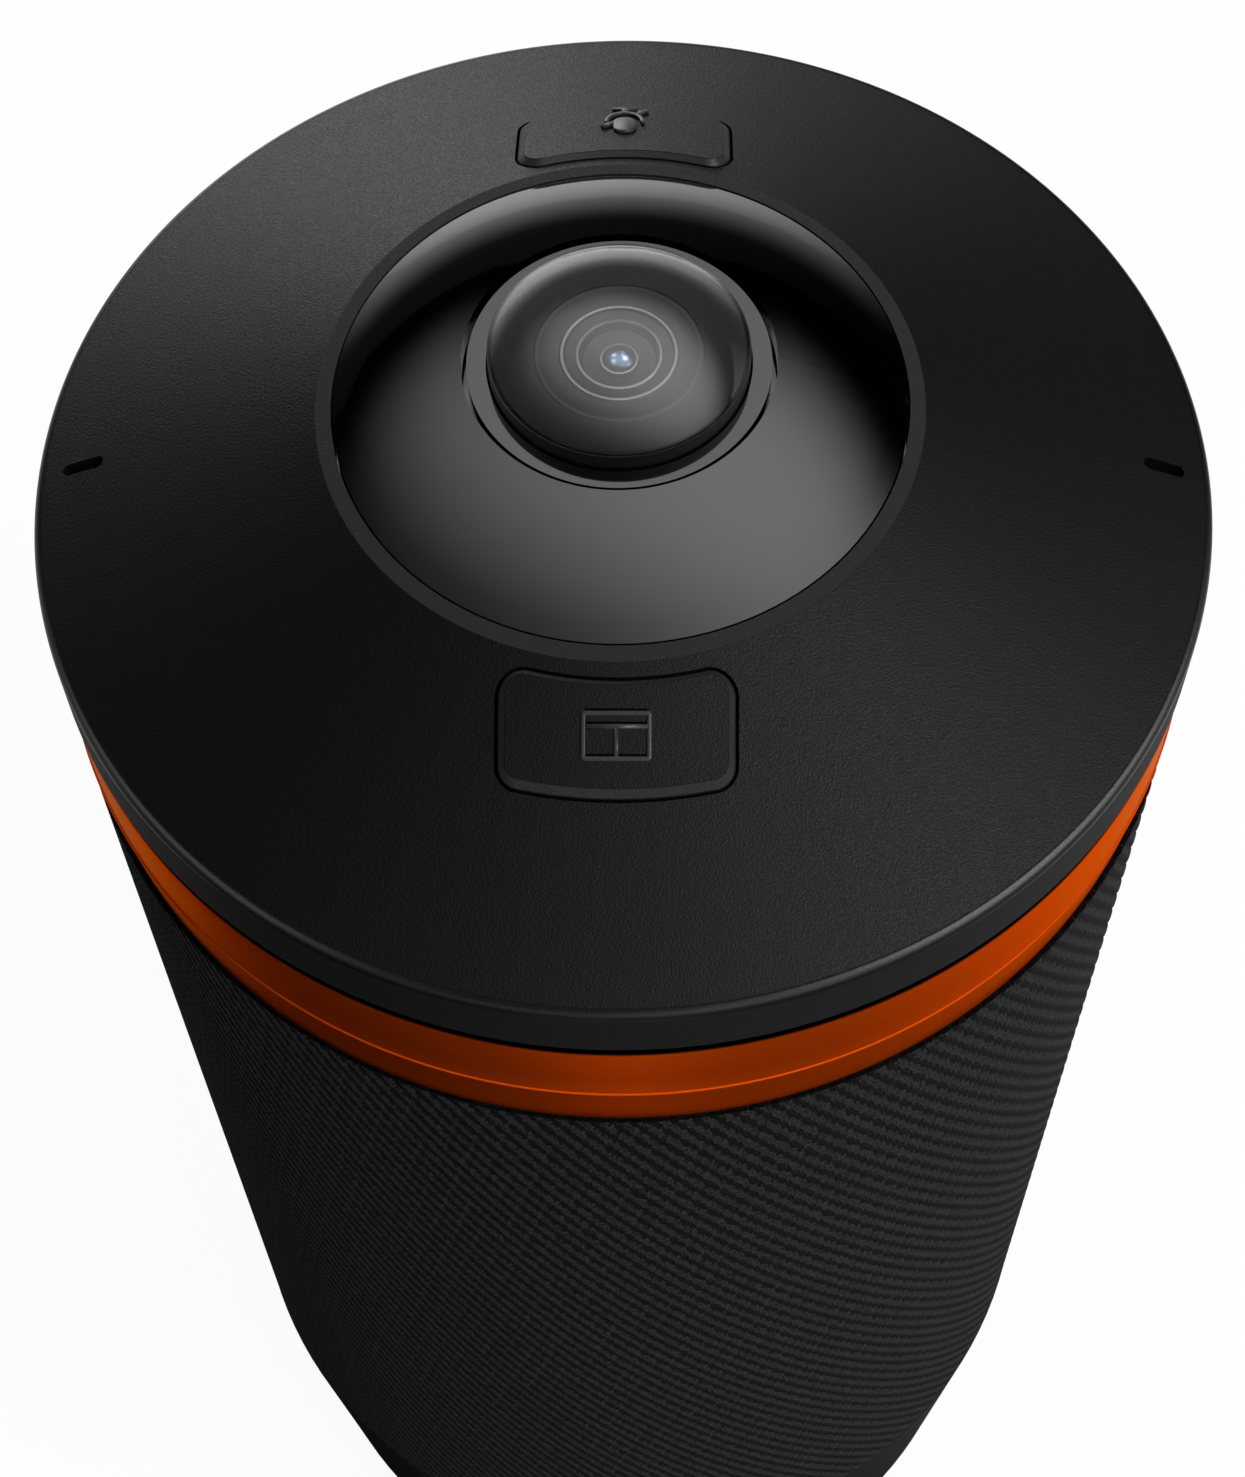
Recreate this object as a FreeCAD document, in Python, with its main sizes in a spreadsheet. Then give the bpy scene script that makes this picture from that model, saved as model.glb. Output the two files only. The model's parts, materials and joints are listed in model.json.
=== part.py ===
# Table-top tower webcam: fisheye lens on top, fabric-covered speaker body, tapered base.
# Millimetres. +Z is up, the origin is on the table under the tower's axis, and the front
# (the side with the layout button) faces -Y. The ports are at the rear, +Y.
import FreeCAD, Part
import math
import os
import Sketcher
from FreeCAD import Vector

# Driving dimensions: name, value in mm (angles in degrees), what it sizes
SIZES = [
    # Clearances
    ("fit_gap", 0.15, "between pieces of one assembly that slide together"),
    ("button_gap", 0.22, "between a button cap and its window"),
    ("rest_gap", 0.1, "between a button's flange and the cover's underside"),
    ("hair_gap", 0.05, "between pieces that are pressed or glued together"),
    ("weld", 1.0, "how far one form of a piece runs into another"),
    ("cut_margin", 1.0, "how far a cutter runs past the face that it opens"),
    ("round_share", 0.49, "corner radius of a round-ended opening over its width"),
    # The tower's round outside, which every ring, wall and board inside it follows
    ("body_radius", 45.0, "top cover, and the base's upper edge"),
    # Foot, bottom plate and ballast
    ("foot_rise", 1.5, "foot ring's height below the bottom plate"),
    ("foot_seat", 1.0, "depth of the foot ring's groove in the plate"),
    ("foot_inset", 4.0, "foot ring's outer edge inside the base's lower edge"),
    ("foot_width", 7.0, "foot ring's radial width"),
    ("plate_thickness", 4.0, "bottom plate"),
    ("ballast_inset", 6.0, "steel ballast disc inside the foot ring"),
    ("ballast_thickness", 7.5, "steel ballast disc"),
    ("insert_bore", 2.6, "minor radius of the tripod thread"),
    ("insert_radius", 4.5, "outside of the tripod insert"),
    ("insert_length", 8.0, "tripod insert"),
    ("insert_wall", 3.0, "plastic round and above the insert"),
    # Base shell
    ("base_taper", 3.0, "how far the base draws in to its lower edge"),
    ("base_height", 34.8, "base shell from its lower edge to its deck"),
    ("base_wall", 2.2, "base shell's side wall"),
    ("deck_thickness", 2.0, "base shell's deck"),
    ("cable_hole", 5.0, "radius of the deck's hole for the inner leads"),
    ("spigot_height", 4.0, "ring on the deck that centres the grille tube"),
    ("spigot_wall", 1.8, "the same ring"),
    ("base_boss", 3.0, "radius of the base shell's screw bosses"),
    # Ports at the rear
    ("port_height", 15.7, "axis of the ports above the bottom plate's lower face"),
    ("port_spacing", 14.0, "between the two ports"),
    ("port_width", 8.94, "receptacle's width"),
    ("port_thickness", 3.16, "receptacle's height"),
    ("port_depth", 7.3, "receptacle's length"),
    ("port_wall", 0.3, "receptacle's sheet metal"),
    ("port_tongue", 0.7, "contact tongue's thickness"),
    ("tongue_side", 1.1, "contact tongue to the receptacle's side"),
    ("tongue_rear", 0.5, "contact tongue to the receptacle's back"),
    ("tongue_front", 0.8, "contact tongue to the receptacle's mouth"),
    ("port_setback", 0.1, "receptacle's mouth inside the recess floor"),
    ("recess_depth", 4.6, "port recess, from the base's upper edge inwards"),
    ("recess_width", 27.0, "port recess"),
    ("recess_height", 8.0, "port recess"),
    ("recess_corner", 2.0, "port recess corner radius"),
    ("pad_margin", 2.0, "thick wall pad beyond the recess"),
    ("pad_thickness", 2.4, "thick wall pad behind the port recess"),
    ("port_board_width", 26.0, "port board, left to right"),
    ("port_board_depth", 24.0, "port board, front to rear"),
    # Circuit boards
    ("board_thickness", 1.6, "every circuit board"),
    ("standoff_radius", 2.4, "plastic standoff under a board"),
    # Speaker
    ("enclosure_wall", 2.5, "speaker enclosure"),
    ("enclosure_height", 55.5, "speaker enclosure"),
    ("sound_gap", 20.2, "height of the sound outlet under the speaker"),
    ("leg_radius", 2.3, "enclosure legs"),
    ("leg_inset", 0.3, "from the enclosure's inner wall to a leg's inner side"),
    ("leg_overlap", 8.0, "length over which a leg joins the enclosure wall"),
    ("ledge_width", 4.5, "speaker seat inside the enclosure"),
    ("ledge_thickness", 2.0, "speaker seat inside the enclosure"),
    ("flange_thickness", 1.5, "speaker basket's flange"),
    ("flange_lap", 1.2, "basket's flange beyond the speaker seat"),
    ("basket_depth", 14.0, "basket from its flange to the magnet"),
    ("basket_neck", 14.0, "basket's radius at the magnet"),
    ("basket_sheet", 1.2, "basket"),
    ("magnet_radius", 16.5, "magnet"),
    ("magnet_height", 11.0, "magnet"),
    ("magnet_back", 2.5, "magnet's closed back"),
    ("pole_radius", 7.4, "magnet's pole"),
    ("coil_gap", 1.8, "radial width of the magnet's gap"),
    ("coil_clearance", 0.5, "voice coil round the magnet's pole"),
    ("coil_wall", 0.6, "voice coil"),
    ("coil_depth", 5.0, "voice coil inside the magnet's gap"),
    ("surround_width", 5.6, "from the basket's flange to the paper cone"),
    ("cone_depth", 9.0, "paper cone"),
    ("cone_paper", 0.7, "paper cone's thickness along the axis"),
    ("roll_height", 1.8, "surround's roll"),
    ("roll_rubber", 0.6, "surround's rubber"),
    ("roll_flat", 1.25, "half of the flat crest of the surround's roll"),
    ("cap_rise", 2.6, "dust cap"),
    ("cap_seat", 1.2, "dust cap's edge below the cone's neck"),
    ("cap_sheet", 0.5, "dust cap"),
    ("coil_overlap", 1.0, "voice coil below the cone's neck"),
    ("diffuser_radius", 26.0, "sound diffuser's foot"),
    ("diffuser_height", 14.0, "sound diffuser"),
    ("diffuser_bore", 2.5, "radius of the lead passage through the diffuser"),
    ("diffuser_edge", 1.0, "height of the diffuser's edge"),
    ("diffuser_flare", 4.0, "height over which the passage widens to the deck's hole"),
    # Main board
    ("main_board_margin", 2.0, "main board inside the frame posts"),
    ("main_board_rise", 5.0, "main board above the enclosure"),
    ("main_screw_inset", 3.5, "main board's screws inside its edge"),
    ("chip_side", 15.0, "processor"),
    ("chip_height", 1.4, "processor"),
    ("sink_side", 34.0, "heat sink"),
    ("sink_base", 2.5, "heat sink's base"),
    ("sink_height", 13.0, "heat sink"),
    ("sink_fin", 1.2, "heat sink's fins"),
    ("sink_fin_count", 8, "number of fins"),
    ("post_radius", 2.6, "metal posts that carry the upper frame"),
    ("post_inset", 4.2, "frame posts inside the enclosure's outside"),
    # Fabric body
    ("tube_wall", 1.9, "grille tube"),
    ("body_height", 124.0, "from the base's deck to the orange ring"),
    ("slot_width", 3.2, "grille tube's sound slots"),
    ("slot_length", 15.0, "grille tube's sound slots"),
    ("slot_pitch", 19.0, "between rows of slots"),
    ("slot_rows", 6, "rows of slots"),
    ("slot_columns", 24, "slots round the tube"),
    ("fabric_thickness", 0.9, "fabric sleeve"),
    ("fabric_proud", 0.2, "fabric sleeve beyond the body's radius"),
    ("fabric_gap", 0.1, "between the tube and the sleeve"),
    ("fabric_reveal", 0.65, "dark gap above and below the sleeve"),
    # Orange ring and upper frame
    ("ring_inset", 0.1, "orange ring's upper band inside the body's radius"),
    ("ring_upper", 7.2, "height of the upper band"),
    ("ring_lower", 4.8, "height of the lower band"),
    ("ring_undercut", 0.9, "how far the lower band draws in"),
    ("ring_ledge", 0.15, "edge between the two bands"),
    ("ring_edge", 0.3, "radius of the ring's top edge"),
    ("ring_wall", 3.35, "orange ring's upper band, in to its bore"),
    ("collar_wall", 2.0, "frame collar"),
    ("collar_depth", 16.3, "frame collar below the shadow gap"),
    ("shadow_gap", 1.2, "dark gap between the orange ring and the cover"),
    ("cover_spigot", 2.0, "frame's spigot inside the cover wall"),
    ("frame_deck", 2.5, "frame's deck"),
    ("frame_drop", 8.3, "frame's deck below the orange ring's top"),
    ("collar_taper", 1.0, "where the collar starts to widen, below the ring's top"),
    ("passage_offset", 20.0, "from the axis to the frame's hole for the flat cables"),
    # Top cover
    ("cover_side", 5.5, "height of the cover's side wall"),
    ("cover_wall", 2.0, "cover, measured along the axis"),
    ("cover_edge", 0.9, "radius of the cover's outer edge"),
    ("cone_rise", 10.2, "from the cover's edge to its crown"),
    ("crown_radius", 22.5, "where the cone meets the crown's rim"),
    ("rim_rise", 0.3, "crown's rim"),
    ("rim_width", 1.2, "crown's rim, in to the opening for the dome"),
    ("rim_depth", 2.4, "crown's rim wall"),
    ("lip_ledge", 0.8, "flat under the crown's rim"),
    # Buttons
    ("window_offset", 0.95, "from the crown to a button window"),
    ("window_depth", 8.0, "button window, from the crown outwards"),
    ("window_side", 8.55, "half of the button window's width"),
    ("window_corner", 1.9, "button window's corner radius"),
    ("cap_proud", 0.55, "button cap above the cone"),
    ("cap_bevel", 0.55, "cap's bevelled edge"),
    ("flange_margin", 0.65, "cap's retaining flange beyond the window"),
    ("flange_depth", 0.9, "cap's retaining flange"),
    ("button_travel", 0.4, "how far a button moves down"),
    ("switch_side", 6.0, "tactile switch"),
    ("switch_height", 3.4, "tactile switch"),
    ("plunger_radius", 1.6, "switch plunger"),
    ("plunger_rise", 1.0, "plunger above the switch at rest"),
    ("plunger_depth", 1.0, "plunger inside the switch at rest"),
    ("stem_radius", 2.1, "post under the button cap"),
    # Board under the cover
    ("top_board_inner", 14.0, "button and microphone board"),
    ("top_board_drop", 2.4, "board's top below the cover's edge"),
    ("cover_screw_inset", 3.4, "cover screws inside the frame's collar"),
    ("cover_boss", 2.6, "cover's and frame's screw bosses"),
    # Microphones
    ("mic_slot_length", 3.3, "microphone slot"),
    ("mic_slot_inset", 2.2, "microphone slot's outer end inside the body's radius"),
    ("mic_slot_width", 1.05, "microphone slot"),
    ("mic_length", 3.5, "microphone"),
    ("mic_width", 2.65, "microphone"),
    ("mic_height", 1.0, "microphone"),
    ("gasket_lap", 0.1, "gasket beyond the slot's outer end"),
    ("mic_inset", 2.0, "microphone's middle inside its board's edge"),
    ("gasket_width", 3.4, "microphone gasket"),
    # Dome and trim ring
    ("dome_rise", 4.75, "dome from its rim to its hole"),
    ("dome_shell", 1.6, "dome's wall"),
    ("dome_flange_width", 0.9, "dome's flange under the crown"),
    ("dome_flange_height", 1.5, "dome's flange"),
    ("trim_width", 1.4, "trim ring"),
    ("trim_gap", 0.4, "between the trim ring and the dome's hole"),
    ("trim_drop", 0.3, "trim ring below the dome's hole edge"),
    ("trim_height", 2.1, "trim ring"),
    ("trim_flange_width", 2.15, "trim ring's flange under the dome"),
    ("trim_flange_height", 1.4, "trim ring's flange"),
    # Lens
    ("barrel_radius", 9.5, "lens barrel's head"),
    ("barrel_rise", 1.2, "front glass edge above the dome's hole edge"),
    ("barrel_head", 11.5, "height of the barrel's head"),
    ("barrel_rim", 0.25, "barrel wall round the front glass"),
    ("barrel_wall", 1.0, "barrel's wall"),
    ("barrel_neck", 7.1, "barrel's threaded neck"),
    ("barrel_neck_length", 11.0, "barrel's threaded neck"),
    ("neck_wall", 1.5, "wall of the barrel's neck"),
    ("barrel_lip", 1.1, "inward lip at the barrel's lower end"),
    ("barrel_lip_height", 1.5, "the same lip"),
    ("glass_edge", 1.9, "front lens's edge"),
    ("glass_rise", 4.0, "front lens's dome"),
    ("glass_thickness", 2.1, "front lens at its apex"),
    ("hollow_margin", 0.2, "front lens's inner hollow inside the spacer's mouth"),
    ("spacer_height", 4.9, "ringed spacer behind the front lens"),
    ("spacer_wall", 0.85, "spacer's wall at its front opening"),
    ("spacer_throat", 4.9, "spacer's rear opening"),
    ("spacer_steps", 4, "rings turned into the spacer"),
    ("spacer_land", 0.6, "height of the last ring's wall"),
    ("spacer_draft", 0.1, "how far each ring's wall leans in"),
    ("second_edge", 2.4, "second lens's edge"),
    ("second_rise", 1.3, "second lens's dome"),
    ("stop_height", 1.3, "aperture ring"),
    ("stop_opening", 1.7, "aperture ring's opening"),
    ("stop_bevel", 2.0, "radial width of the aperture ring's bevel"),
    ("stop_edge", 0.3, "aperture ring's edge below the second lens"),
    ("rear_edge", 2.6, "rear lens's edge"),
    ("rear_rise", 0.9, "rear lens's two domes"),
    ("rear_rest", 0.6, "rear lens's flat edge, and its spacer's wall"),
    # Sensor
    ("holder_wall", 2.25, "lens holder's tube"),
    ("holder_ear", 2.0, "lens holder's flange beyond its screws' middle"),
    ("holder_flange_height", 2.4, "lens holder's flange"),
    ("holder_height", 13.0, "lens holder"),
    ("sensor_board_margin", 1.0, "sensor board beyond the holder's flange"),
    ("sensor_board_rise", 1.5, "sensor board above the frame's deck"),
    ("sensor_side", 9.2, "image sensor"),
    ("sensor_height", 1.0, "image sensor"),
    ("filter_side", 9.0, "infra-red cut filter"),
    ("filter_thickness", 0.3, "infra-red cut filter"),
    ("filter_gap", 0.3, "filter above the image sensor"),
    # Screws
    ("screw_shank", 1.0, "radius of every screw's shank"),
    ("screw_head", 2.1, "radius of every screw's head"),
    ("screw_head_height", 1.4, "every screw's head"),
    ("small_screw_head", 1.6, "radius of a small screw's head"),
    ("small_screw_shank", 0.7, "radius of a small screw's shank"),
    ("small_screw_head_height", 0.9, "small screw's head"),
    ("screw_grip", 7.0, "depth of a screw in its boss"),
    ("small_screw_grip", 3.0, "depth of a small screw in its boss"),
    ("small_pilot", 3.5, "depth of a small screw's hole"),
    ("screw_angle", 45.0, "angle of the first base, cover and holder screw"),
    ("base_screw_count", 4, "screws through the bottom plate"),
    ("leg_count", 4, "enclosure legs, each with a screw"),
    ("main_screw_count", 4, "main board screws"),
    ("post_count", 4, "frame posts, each with a screw"),
    ("cover_screw_count", 4, "cover screws"),
    ("holder_screw_count", 2, "lens holder's screws"),
    ("insert_play", 0.02, "tripod insert in its boss"),
]

DOC = FreeCAD.newDocument("tower_webcam")
SHEET = DOC.addObject("Spreadsheet::Sheet", "Sizes")
for row, (alias, value, note) in enumerate(SIZES, start=1):
    SHEET.set(f"A{row}", str(value))
    SHEET.setAlias(f"A{row}", alias)
    SHEET.set(f"B{row}", note)
DOC.recompute()

PARTS = []

# Tolerances of the source's own tests, in mm
NEAR_ZERO = 1e-9
NEAR_CONE = 1e-3


def size(name):
    """The expression that reads one driving dimension."""
    return f"Sizes.{name}"


def value(expression):
    """The number that an expression gives now."""
    return float(SHEET.evalExpression(str(expression)))


def count(name):
    """A driving count, such as a number of slots."""
    return int(round(value(size(name))))


def plus(*terms):
    """The sum of expressions."""
    return "(" + " + ".join(str(term) for term in terms) + ")"


def less(first, *others):
    """The first expression without the others."""
    return "(" + " - ".join([str(first)] + [str(term) for term in others]) + ")"


def times(factor, term):
    return f"({factor}) * ({term})"


def part(node, thing):
    """Give an object the name of the node that it is, and keep it for the files."""
    thing.Label = node
    PARTS.append(thing)
    return thing


# Levels, from the table up
PLATE_LOW = size("foot_rise")
PLATE_TOP = plus(PLATE_LOW, size("plate_thickness"))
BALLAST_TOP = plus(PLATE_TOP, size("ballast_thickness"))
DECK_TOP = plus(PLATE_LOW, size("base_height"))
DECK_LOW = less(DECK_TOP, size("deck_thickness"))
PORT_AXIS = plus(PLATE_LOW, size("port_height"))
PORT_BOARD_TOP = less(PORT_AXIS, times(0.5, size("port_thickness")))
PORT_BOARD_LOW = less(PORT_BOARD_TOP, size("board_thickness"))
BASKET_LOW = plus(DECK_TOP, size("sound_gap"))
SEAT_LOW = plus(BASKET_LOW, size("flange_thickness"))
ENCLOSURE_TOP = plus(BASKET_LOW, size("enclosure_height"))
MAGNET_LOW = plus(SEAT_LOW, size("basket_depth"))
MAIN_BOARD_LOW = plus(ENCLOSURE_TOP, size("main_board_rise"))
MAIN_BOARD_TOP = plus(MAIN_BOARD_LOW, size("board_thickness"))
CHIP_TOP = plus(MAIN_BOARD_TOP, size("chip_height"))
RING_LOW = plus(DECK_TOP, size("body_height"))
RING_TOP = plus(RING_LOW, size("ring_lower"), size("ring_upper"))
COVER_LOW = plus(RING_TOP, size("shadow_gap"))
COVER_EDGE = plus(COVER_LOW, size("cover_side"))
FRAME_LOW = less(RING_TOP, size("collar_depth"))
FRAME_DECK_LOW = less(RING_TOP, size("frame_drop"))
FRAME_DECK_TOP = plus(FRAME_DECK_LOW, size("frame_deck"))
SENSOR_BOARD_LOW = plus(FRAME_DECK_TOP, size("sensor_board_rise"))
SENSOR_BOARD_TOP = plus(SENSOR_BOARD_LOW, size("board_thickness"))
SENSOR_TOP = plus(SENSOR_BOARD_TOP, size("sensor_height"))
FILTER_LOW = plus(SENSOR_TOP, size("filter_gap"))
HOLDER_TOP = plus(SENSOR_BOARD_TOP, size("holder_height"))
TOP_BOARD_TOP = less(COVER_EDGE, size("top_board_drop"))
TOP_BOARD_LOW = less(TOP_BOARD_TOP, size("board_thickness"))
SWITCH_TOP = plus(TOP_BOARD_TOP, size("switch_height"))
PLUNGER_TOP = plus(SWITCH_TOP, size("plunger_rise"))
CROWN = plus(COVER_EDGE, size("cone_rise"))
RIM_TOP = plus(CROWN, size("rim_rise"))
RIM_LOW = less(RIM_TOP, size("rim_depth"))
ABOVE_COVER = plus(RIM_TOP, size("cut_margin"))
DOME_TOP = plus(RIM_TOP, size("dome_rise"))
TRIM_TOP = less(DOME_TOP, size("trim_drop"))
TRIM_LOW = less(TRIM_TOP, size("trim_height"))
GLASS_EDGE_TOP = plus(DOME_TOP, size("barrel_rise"))
GLASS_EDGE_LOW = less(GLASS_EDGE_TOP, size("glass_edge"))
GLASS_APEX = plus(GLASS_EDGE_TOP, size("glass_rise"))
BARREL_HEAD_LOW = less(GLASS_EDGE_TOP, size("barrel_head"))
BARREL_LOW = less(BARREL_HEAD_LOW, size("barrel_neck_length"))
SPACER_LOW = less(GLASS_EDGE_LOW, size("spacer_height"))
SECOND_LOW = less(SPACER_LOW, size("second_edge"))

# Radii that several pieces share
BODY = size("body_radius")
CLEAR_HOLE = plus(size("screw_shank"), size("fit_gap"))
SMALL_CLEAR_HOLE = plus(size("small_screw_shank"), size("fit_gap"))
BASE_FOOT = less(BODY, size("base_taper"))
FOOT_OUTER = less(BASE_FOOT, size("foot_inset"))
FOOT_INNER = less(FOOT_OUTER, size("foot_width"))
FOOT_MIDDLE = plus(FOOT_INNER, times(0.5, size("foot_width")))
RECESS_PLANE = less(BODY, size("recess_depth"))
PAD_PLANE = less(RECESS_PLANE, size("pad_thickness"))
SLEEVE_OUTER = plus(BODY, size("fabric_proud"))
SLEEVE_INNER = less(SLEEVE_OUTER, size("fabric_thickness"))
TUBE_RADIUS = less(SLEEVE_INNER, size("fabric_gap"))
TUBE_INNER = less(TUBE_RADIUS, size("tube_wall"))
SPIGOT_RING_OUTER = less(TUBE_INNER, size("fit_gap"))
SPIGOT_RING_INNER = less(SPIGOT_RING_OUTER, size("spigot_wall"))
LEG_CIRCLE = less(SPIGOT_RING_INNER, size("fit_gap"), size("leg_radius"))
ENCLOSURE_INNER = less(LEG_CIRCLE, size("leg_radius"), size("leg_inset"))
ENCLOSURE_RADIUS = plus(ENCLOSURE_INNER, size("enclosure_wall"))
LEDGE = less(ENCLOSURE_INNER, size("ledge_width"))
FLANGE_INNER = less(LEDGE, size("flange_lap"))
CONE_OUTER = less(FLANGE_INNER, size("surround_width"))
COIL_INNER = plus(size("pole_radius"), size("coil_clearance"))
POST_CIRCLE = less(ENCLOSURE_RADIUS, size("post_inset"))
MAIN_BOARD = less(POST_CIRCLE, size("post_radius"), size("main_board_margin"))
MAIN_SCREW_CIRCLE = less(MAIN_BOARD, size("main_screw_inset"))
RING_RADIUS = less(BODY, size("ring_inset"))
RING_INNER = less(RING_RADIUS, size("ring_wall"))
COLLAR_RADIUS = less(RING_INNER, size("fit_gap"))
COLLAR_INNER = less(COLLAR_RADIUS, size("collar_wall"))
COVER_INNER = less(BODY, size("cover_wall"))
SPIGOT_RADIUS = less(COVER_INNER, size("fit_gap"))
SPIGOT_INNER = less(SPIGOT_RADIUS, size("collar_wall"))
COVER_SCREW_CIRCLE = less(COLLAR_INNER, size("cover_screw_inset"))
TOP_BOARD_OUTER = less(SPIGOT_INNER, size("fit_gap"))
MIC_SLOT_OUTER = less(BODY, size("mic_slot_inset"))
MIC_SLOT_INNER = less(MIC_SLOT_OUTER, size("mic_slot_length"))
MIC_CIRCLE = less(TOP_BOARD_OUTER, size("mic_inset"))
RIM_RADIUS = less(size("crown_radius"), size("rim_width"))
WINDOW_INNER = plus(size("crown_radius"), size("window_offset"))
WINDOW_OUTER = plus(WINDOW_INNER, size("window_depth"))
BUTTON_MIDDLE = times(0.5, plus(WINDOW_INNER, WINDOW_OUTER))
TRIM_INNER = plus(size("barrel_radius"), size("fit_gap"))
TRIM_OUTER = plus(TRIM_INNER, size("trim_width"))
DOME_HOLE = plus(TRIM_OUTER, size("trim_gap"))
HEAD_BORE = less(size("barrel_radius"), size("barrel_wall"))
NECK_BORE = less(size("barrel_neck"), size("neck_wall"))
HOLDER_BORE = plus(size("barrel_neck"), size("hair_gap"))
HOLDER_RADIUS = plus(HOLDER_BORE, size("holder_wall"))
HOLDER_SCREW_CIRCLE = plus(HOLDER_RADIUS, size("small_screw_head"))
HOLDER_FLANGE = plus(HOLDER_SCREW_CIRCLE, size("holder_ear"))
SENSOR_BOARD = plus(HOLDER_FLANGE, size("sensor_board_margin"))
CONE_SLOPE = f"{size('cone_rise')} / ({BODY} - {size('crown_radius')})"


def cone_level(radius, below="0"):
    """Height of the cover's cone at a radius, or of the same cone a little below it."""
    return less(plus(COVER_EDGE, f"({BODY} - ({radius})) * {CONE_SLOPE}"), below)


# Sketches
def origin_plane(body, role):
    return next(item for item in body.Origin.OriginFeatures if item.Role == role)


def new_sketch(body, role, offset=None):
    """A sketch on one of the body's own planes, moved along its normal by an expression."""
    sketch = body.newObject("Sketcher::SketchObject", body.Name + "_sketch")
    sketch.AttachmentSupport = (origin_plane(body, role), [""])
    sketch.MapMode = "FlatFace"
    if offset is not None:
        sketch.setExpression("AttachmentOffset.Base.z", offset)
    return sketch


def dimension(sketch, kind, where, expression):
    """One driven dimension of a sketch."""
    index = sketch.addConstraint(Sketcher.Constraint(kind, *where, value(expression)))
    sketch.setExpression(f"Constraints[{index}]", str(expression))


def pin(sketch, edge, end, across, along):
    """Hold one point of a sketch at two coordinates; zero across puts it on the axis."""
    if abs(value(across)) < NEAR_ZERO:
        sketch.addConstraint(Sketcher.Constraint("PointOnObject", edge, end, -2))
    else:
        dimension(sketch, "DistanceX", (-1, 1, edge, end), across)
    if abs(value(along)) < NEAR_ZERO:
        sketch.addConstraint(Sketcher.Constraint("PointOnObject", edge, end, -1))
    else:
        dimension(sketch, "DistanceY", (-1, 1, edge, end), along)


def domed_edge(start, end):
    """Arc between two profile points whose centre is on the axis, and whether it starts at start."""
    centre = (end.y ** 2 + end.x ** 2 - start.y ** 2 - start.x ** 2) / (2 * (end.y - start.y))
    middle = Vector(0, centre, 0)
    first = math.atan2(start.y - centre, start.x)
    last = math.atan2(end.y - centre, end.x)
    circle = Part.Circle(middle, Vector(0, 0, 1), (start - middle).Length)
    forward = last > first
    return Part.ArcOfCircle(circle, min(first, last), max(first, last)), forward


def outline(sketch, points, domes=()):
    """A closed outline through points given by expressions.

    An edge whose number is in domes is an arc with its centre on the axis. A point with a third
    expression is rounded to that radius by an arc tangent to the straight edges beside it.
    """
    corners = [Vector(value(point[0]), value(point[1]), 0) for point in points]
    total = len(points)
    ends = []
    for index in range(total):
        start, end = corners[index], corners[(index + 1) % total]
        if index in domes:
            arc, forward = domed_edge(start, end)
            edge = sketch.addGeometry(arc)
            ends.append((edge, 1 if forward else 2, 2 if forward else 1))
            sketch.addConstraint(Sketcher.Constraint("PointOnObject", edge, 3, -2))
        else:
            along = (end - start).normalize()
            first = start + along * corner_cut(points, corners, index)
            last = end - along * corner_cut(points, corners, (index + 1) % total)
            edge = sketch.addGeometry(Part.LineSegment(first, last))
            ends.append((edge, 1, 2))
    for index, point in enumerate(points):
        before, after = ends[index - 1], ends[index]
        if len(point) == 2:
            meet = (before[0], before[2], after[0], after[1])
            sketch.addConstraint(Sketcher.Constraint("Coincident", *meet))
            pin(sketch, after[0], after[1], point[0], point[1])
        else:
            round_corner(sketch, corners, index, before, after, point)


def corner_cut(points, corners, index):
    """Length that a rounded corner takes off each edge beside it."""
    if len(points[index]) == 2:
        return 0.0
    here = corners[index]
    back = (corners[index - 1] - here).normalize()
    ahead = (corners[(index + 1) % len(corners)] - here).normalize()
    return value(points[index][2]) / math.tan(back.getAngle(ahead) / 2)


def round_corner(sketch, corners, index, before, after, point):
    """An arc tangent to both edges, with the sharp corner kept as a construction point."""
    here = corners[index]
    back = (corners[index - 1] - here).normalize()
    ahead = (corners[(index + 1) % len(corners)] - here).normalize()
    half = back.getAngle(ahead) / 2
    radius = value(point[2])
    middle = here + (back + ahead).normalize() * (radius / math.sin(half))
    first = here + back * (radius / math.tan(half)) - middle
    last = here + ahead * (radius / math.tan(half)) - middle
    left_turn = first.cross(last).z > 0
    angles = [math.atan2(first.y, first.x), math.atan2(last.y, last.x)]
    if not left_turn:
        angles.reverse()
    circle = Part.Circle(middle, Vector(0, 0, 1), radius)
    arc = sketch.addGeometry(Part.ArcOfCircle(circle, angles[0], angles[1]))
    start, end = (1, 2) if left_turn else (2, 1)
    sketch.addConstraint(Sketcher.Constraint("Tangent", before[0], before[2], arc, start))
    sketch.addConstraint(Sketcher.Constraint("Tangent", arc, end, after[0], after[1]))
    dimension(sketch, "Radius", (arc,), point[2])
    corner = sketch.addGeometry(Part.Point(here), True)
    sketch.addConstraint(Sketcher.Constraint("PointOnObject", corner, 1, before[0]))
    sketch.addConstraint(Sketcher.Constraint("PointOnObject", corner, 1, after[0]))
    pin(sketch, corner, 1, point[0], point[1])


# Solids
def turned(name, points, domes=()):
    """A body turned about the tower's axis from a half section of radius and height."""
    body = DOC.addObject("PartDesign::Body", name)
    sketch = new_sketch(body, "XZ_Plane")
    outline(sketch, points, domes)
    turn = body.newObject("PartDesign::Revolution", name + "_turn")
    turn.Profile = sketch
    turn.ReferenceAxis = (sketch, ["V_Axis"])
    turn.Angle = 360
    sketch.Visibility = False
    return body


def ring(name, inner, outer, low, high):
    """A turned body with a rectangular section."""
    return turned(name, [(inner, low), (outer, low), (outer, high), (inner, high)])


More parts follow.
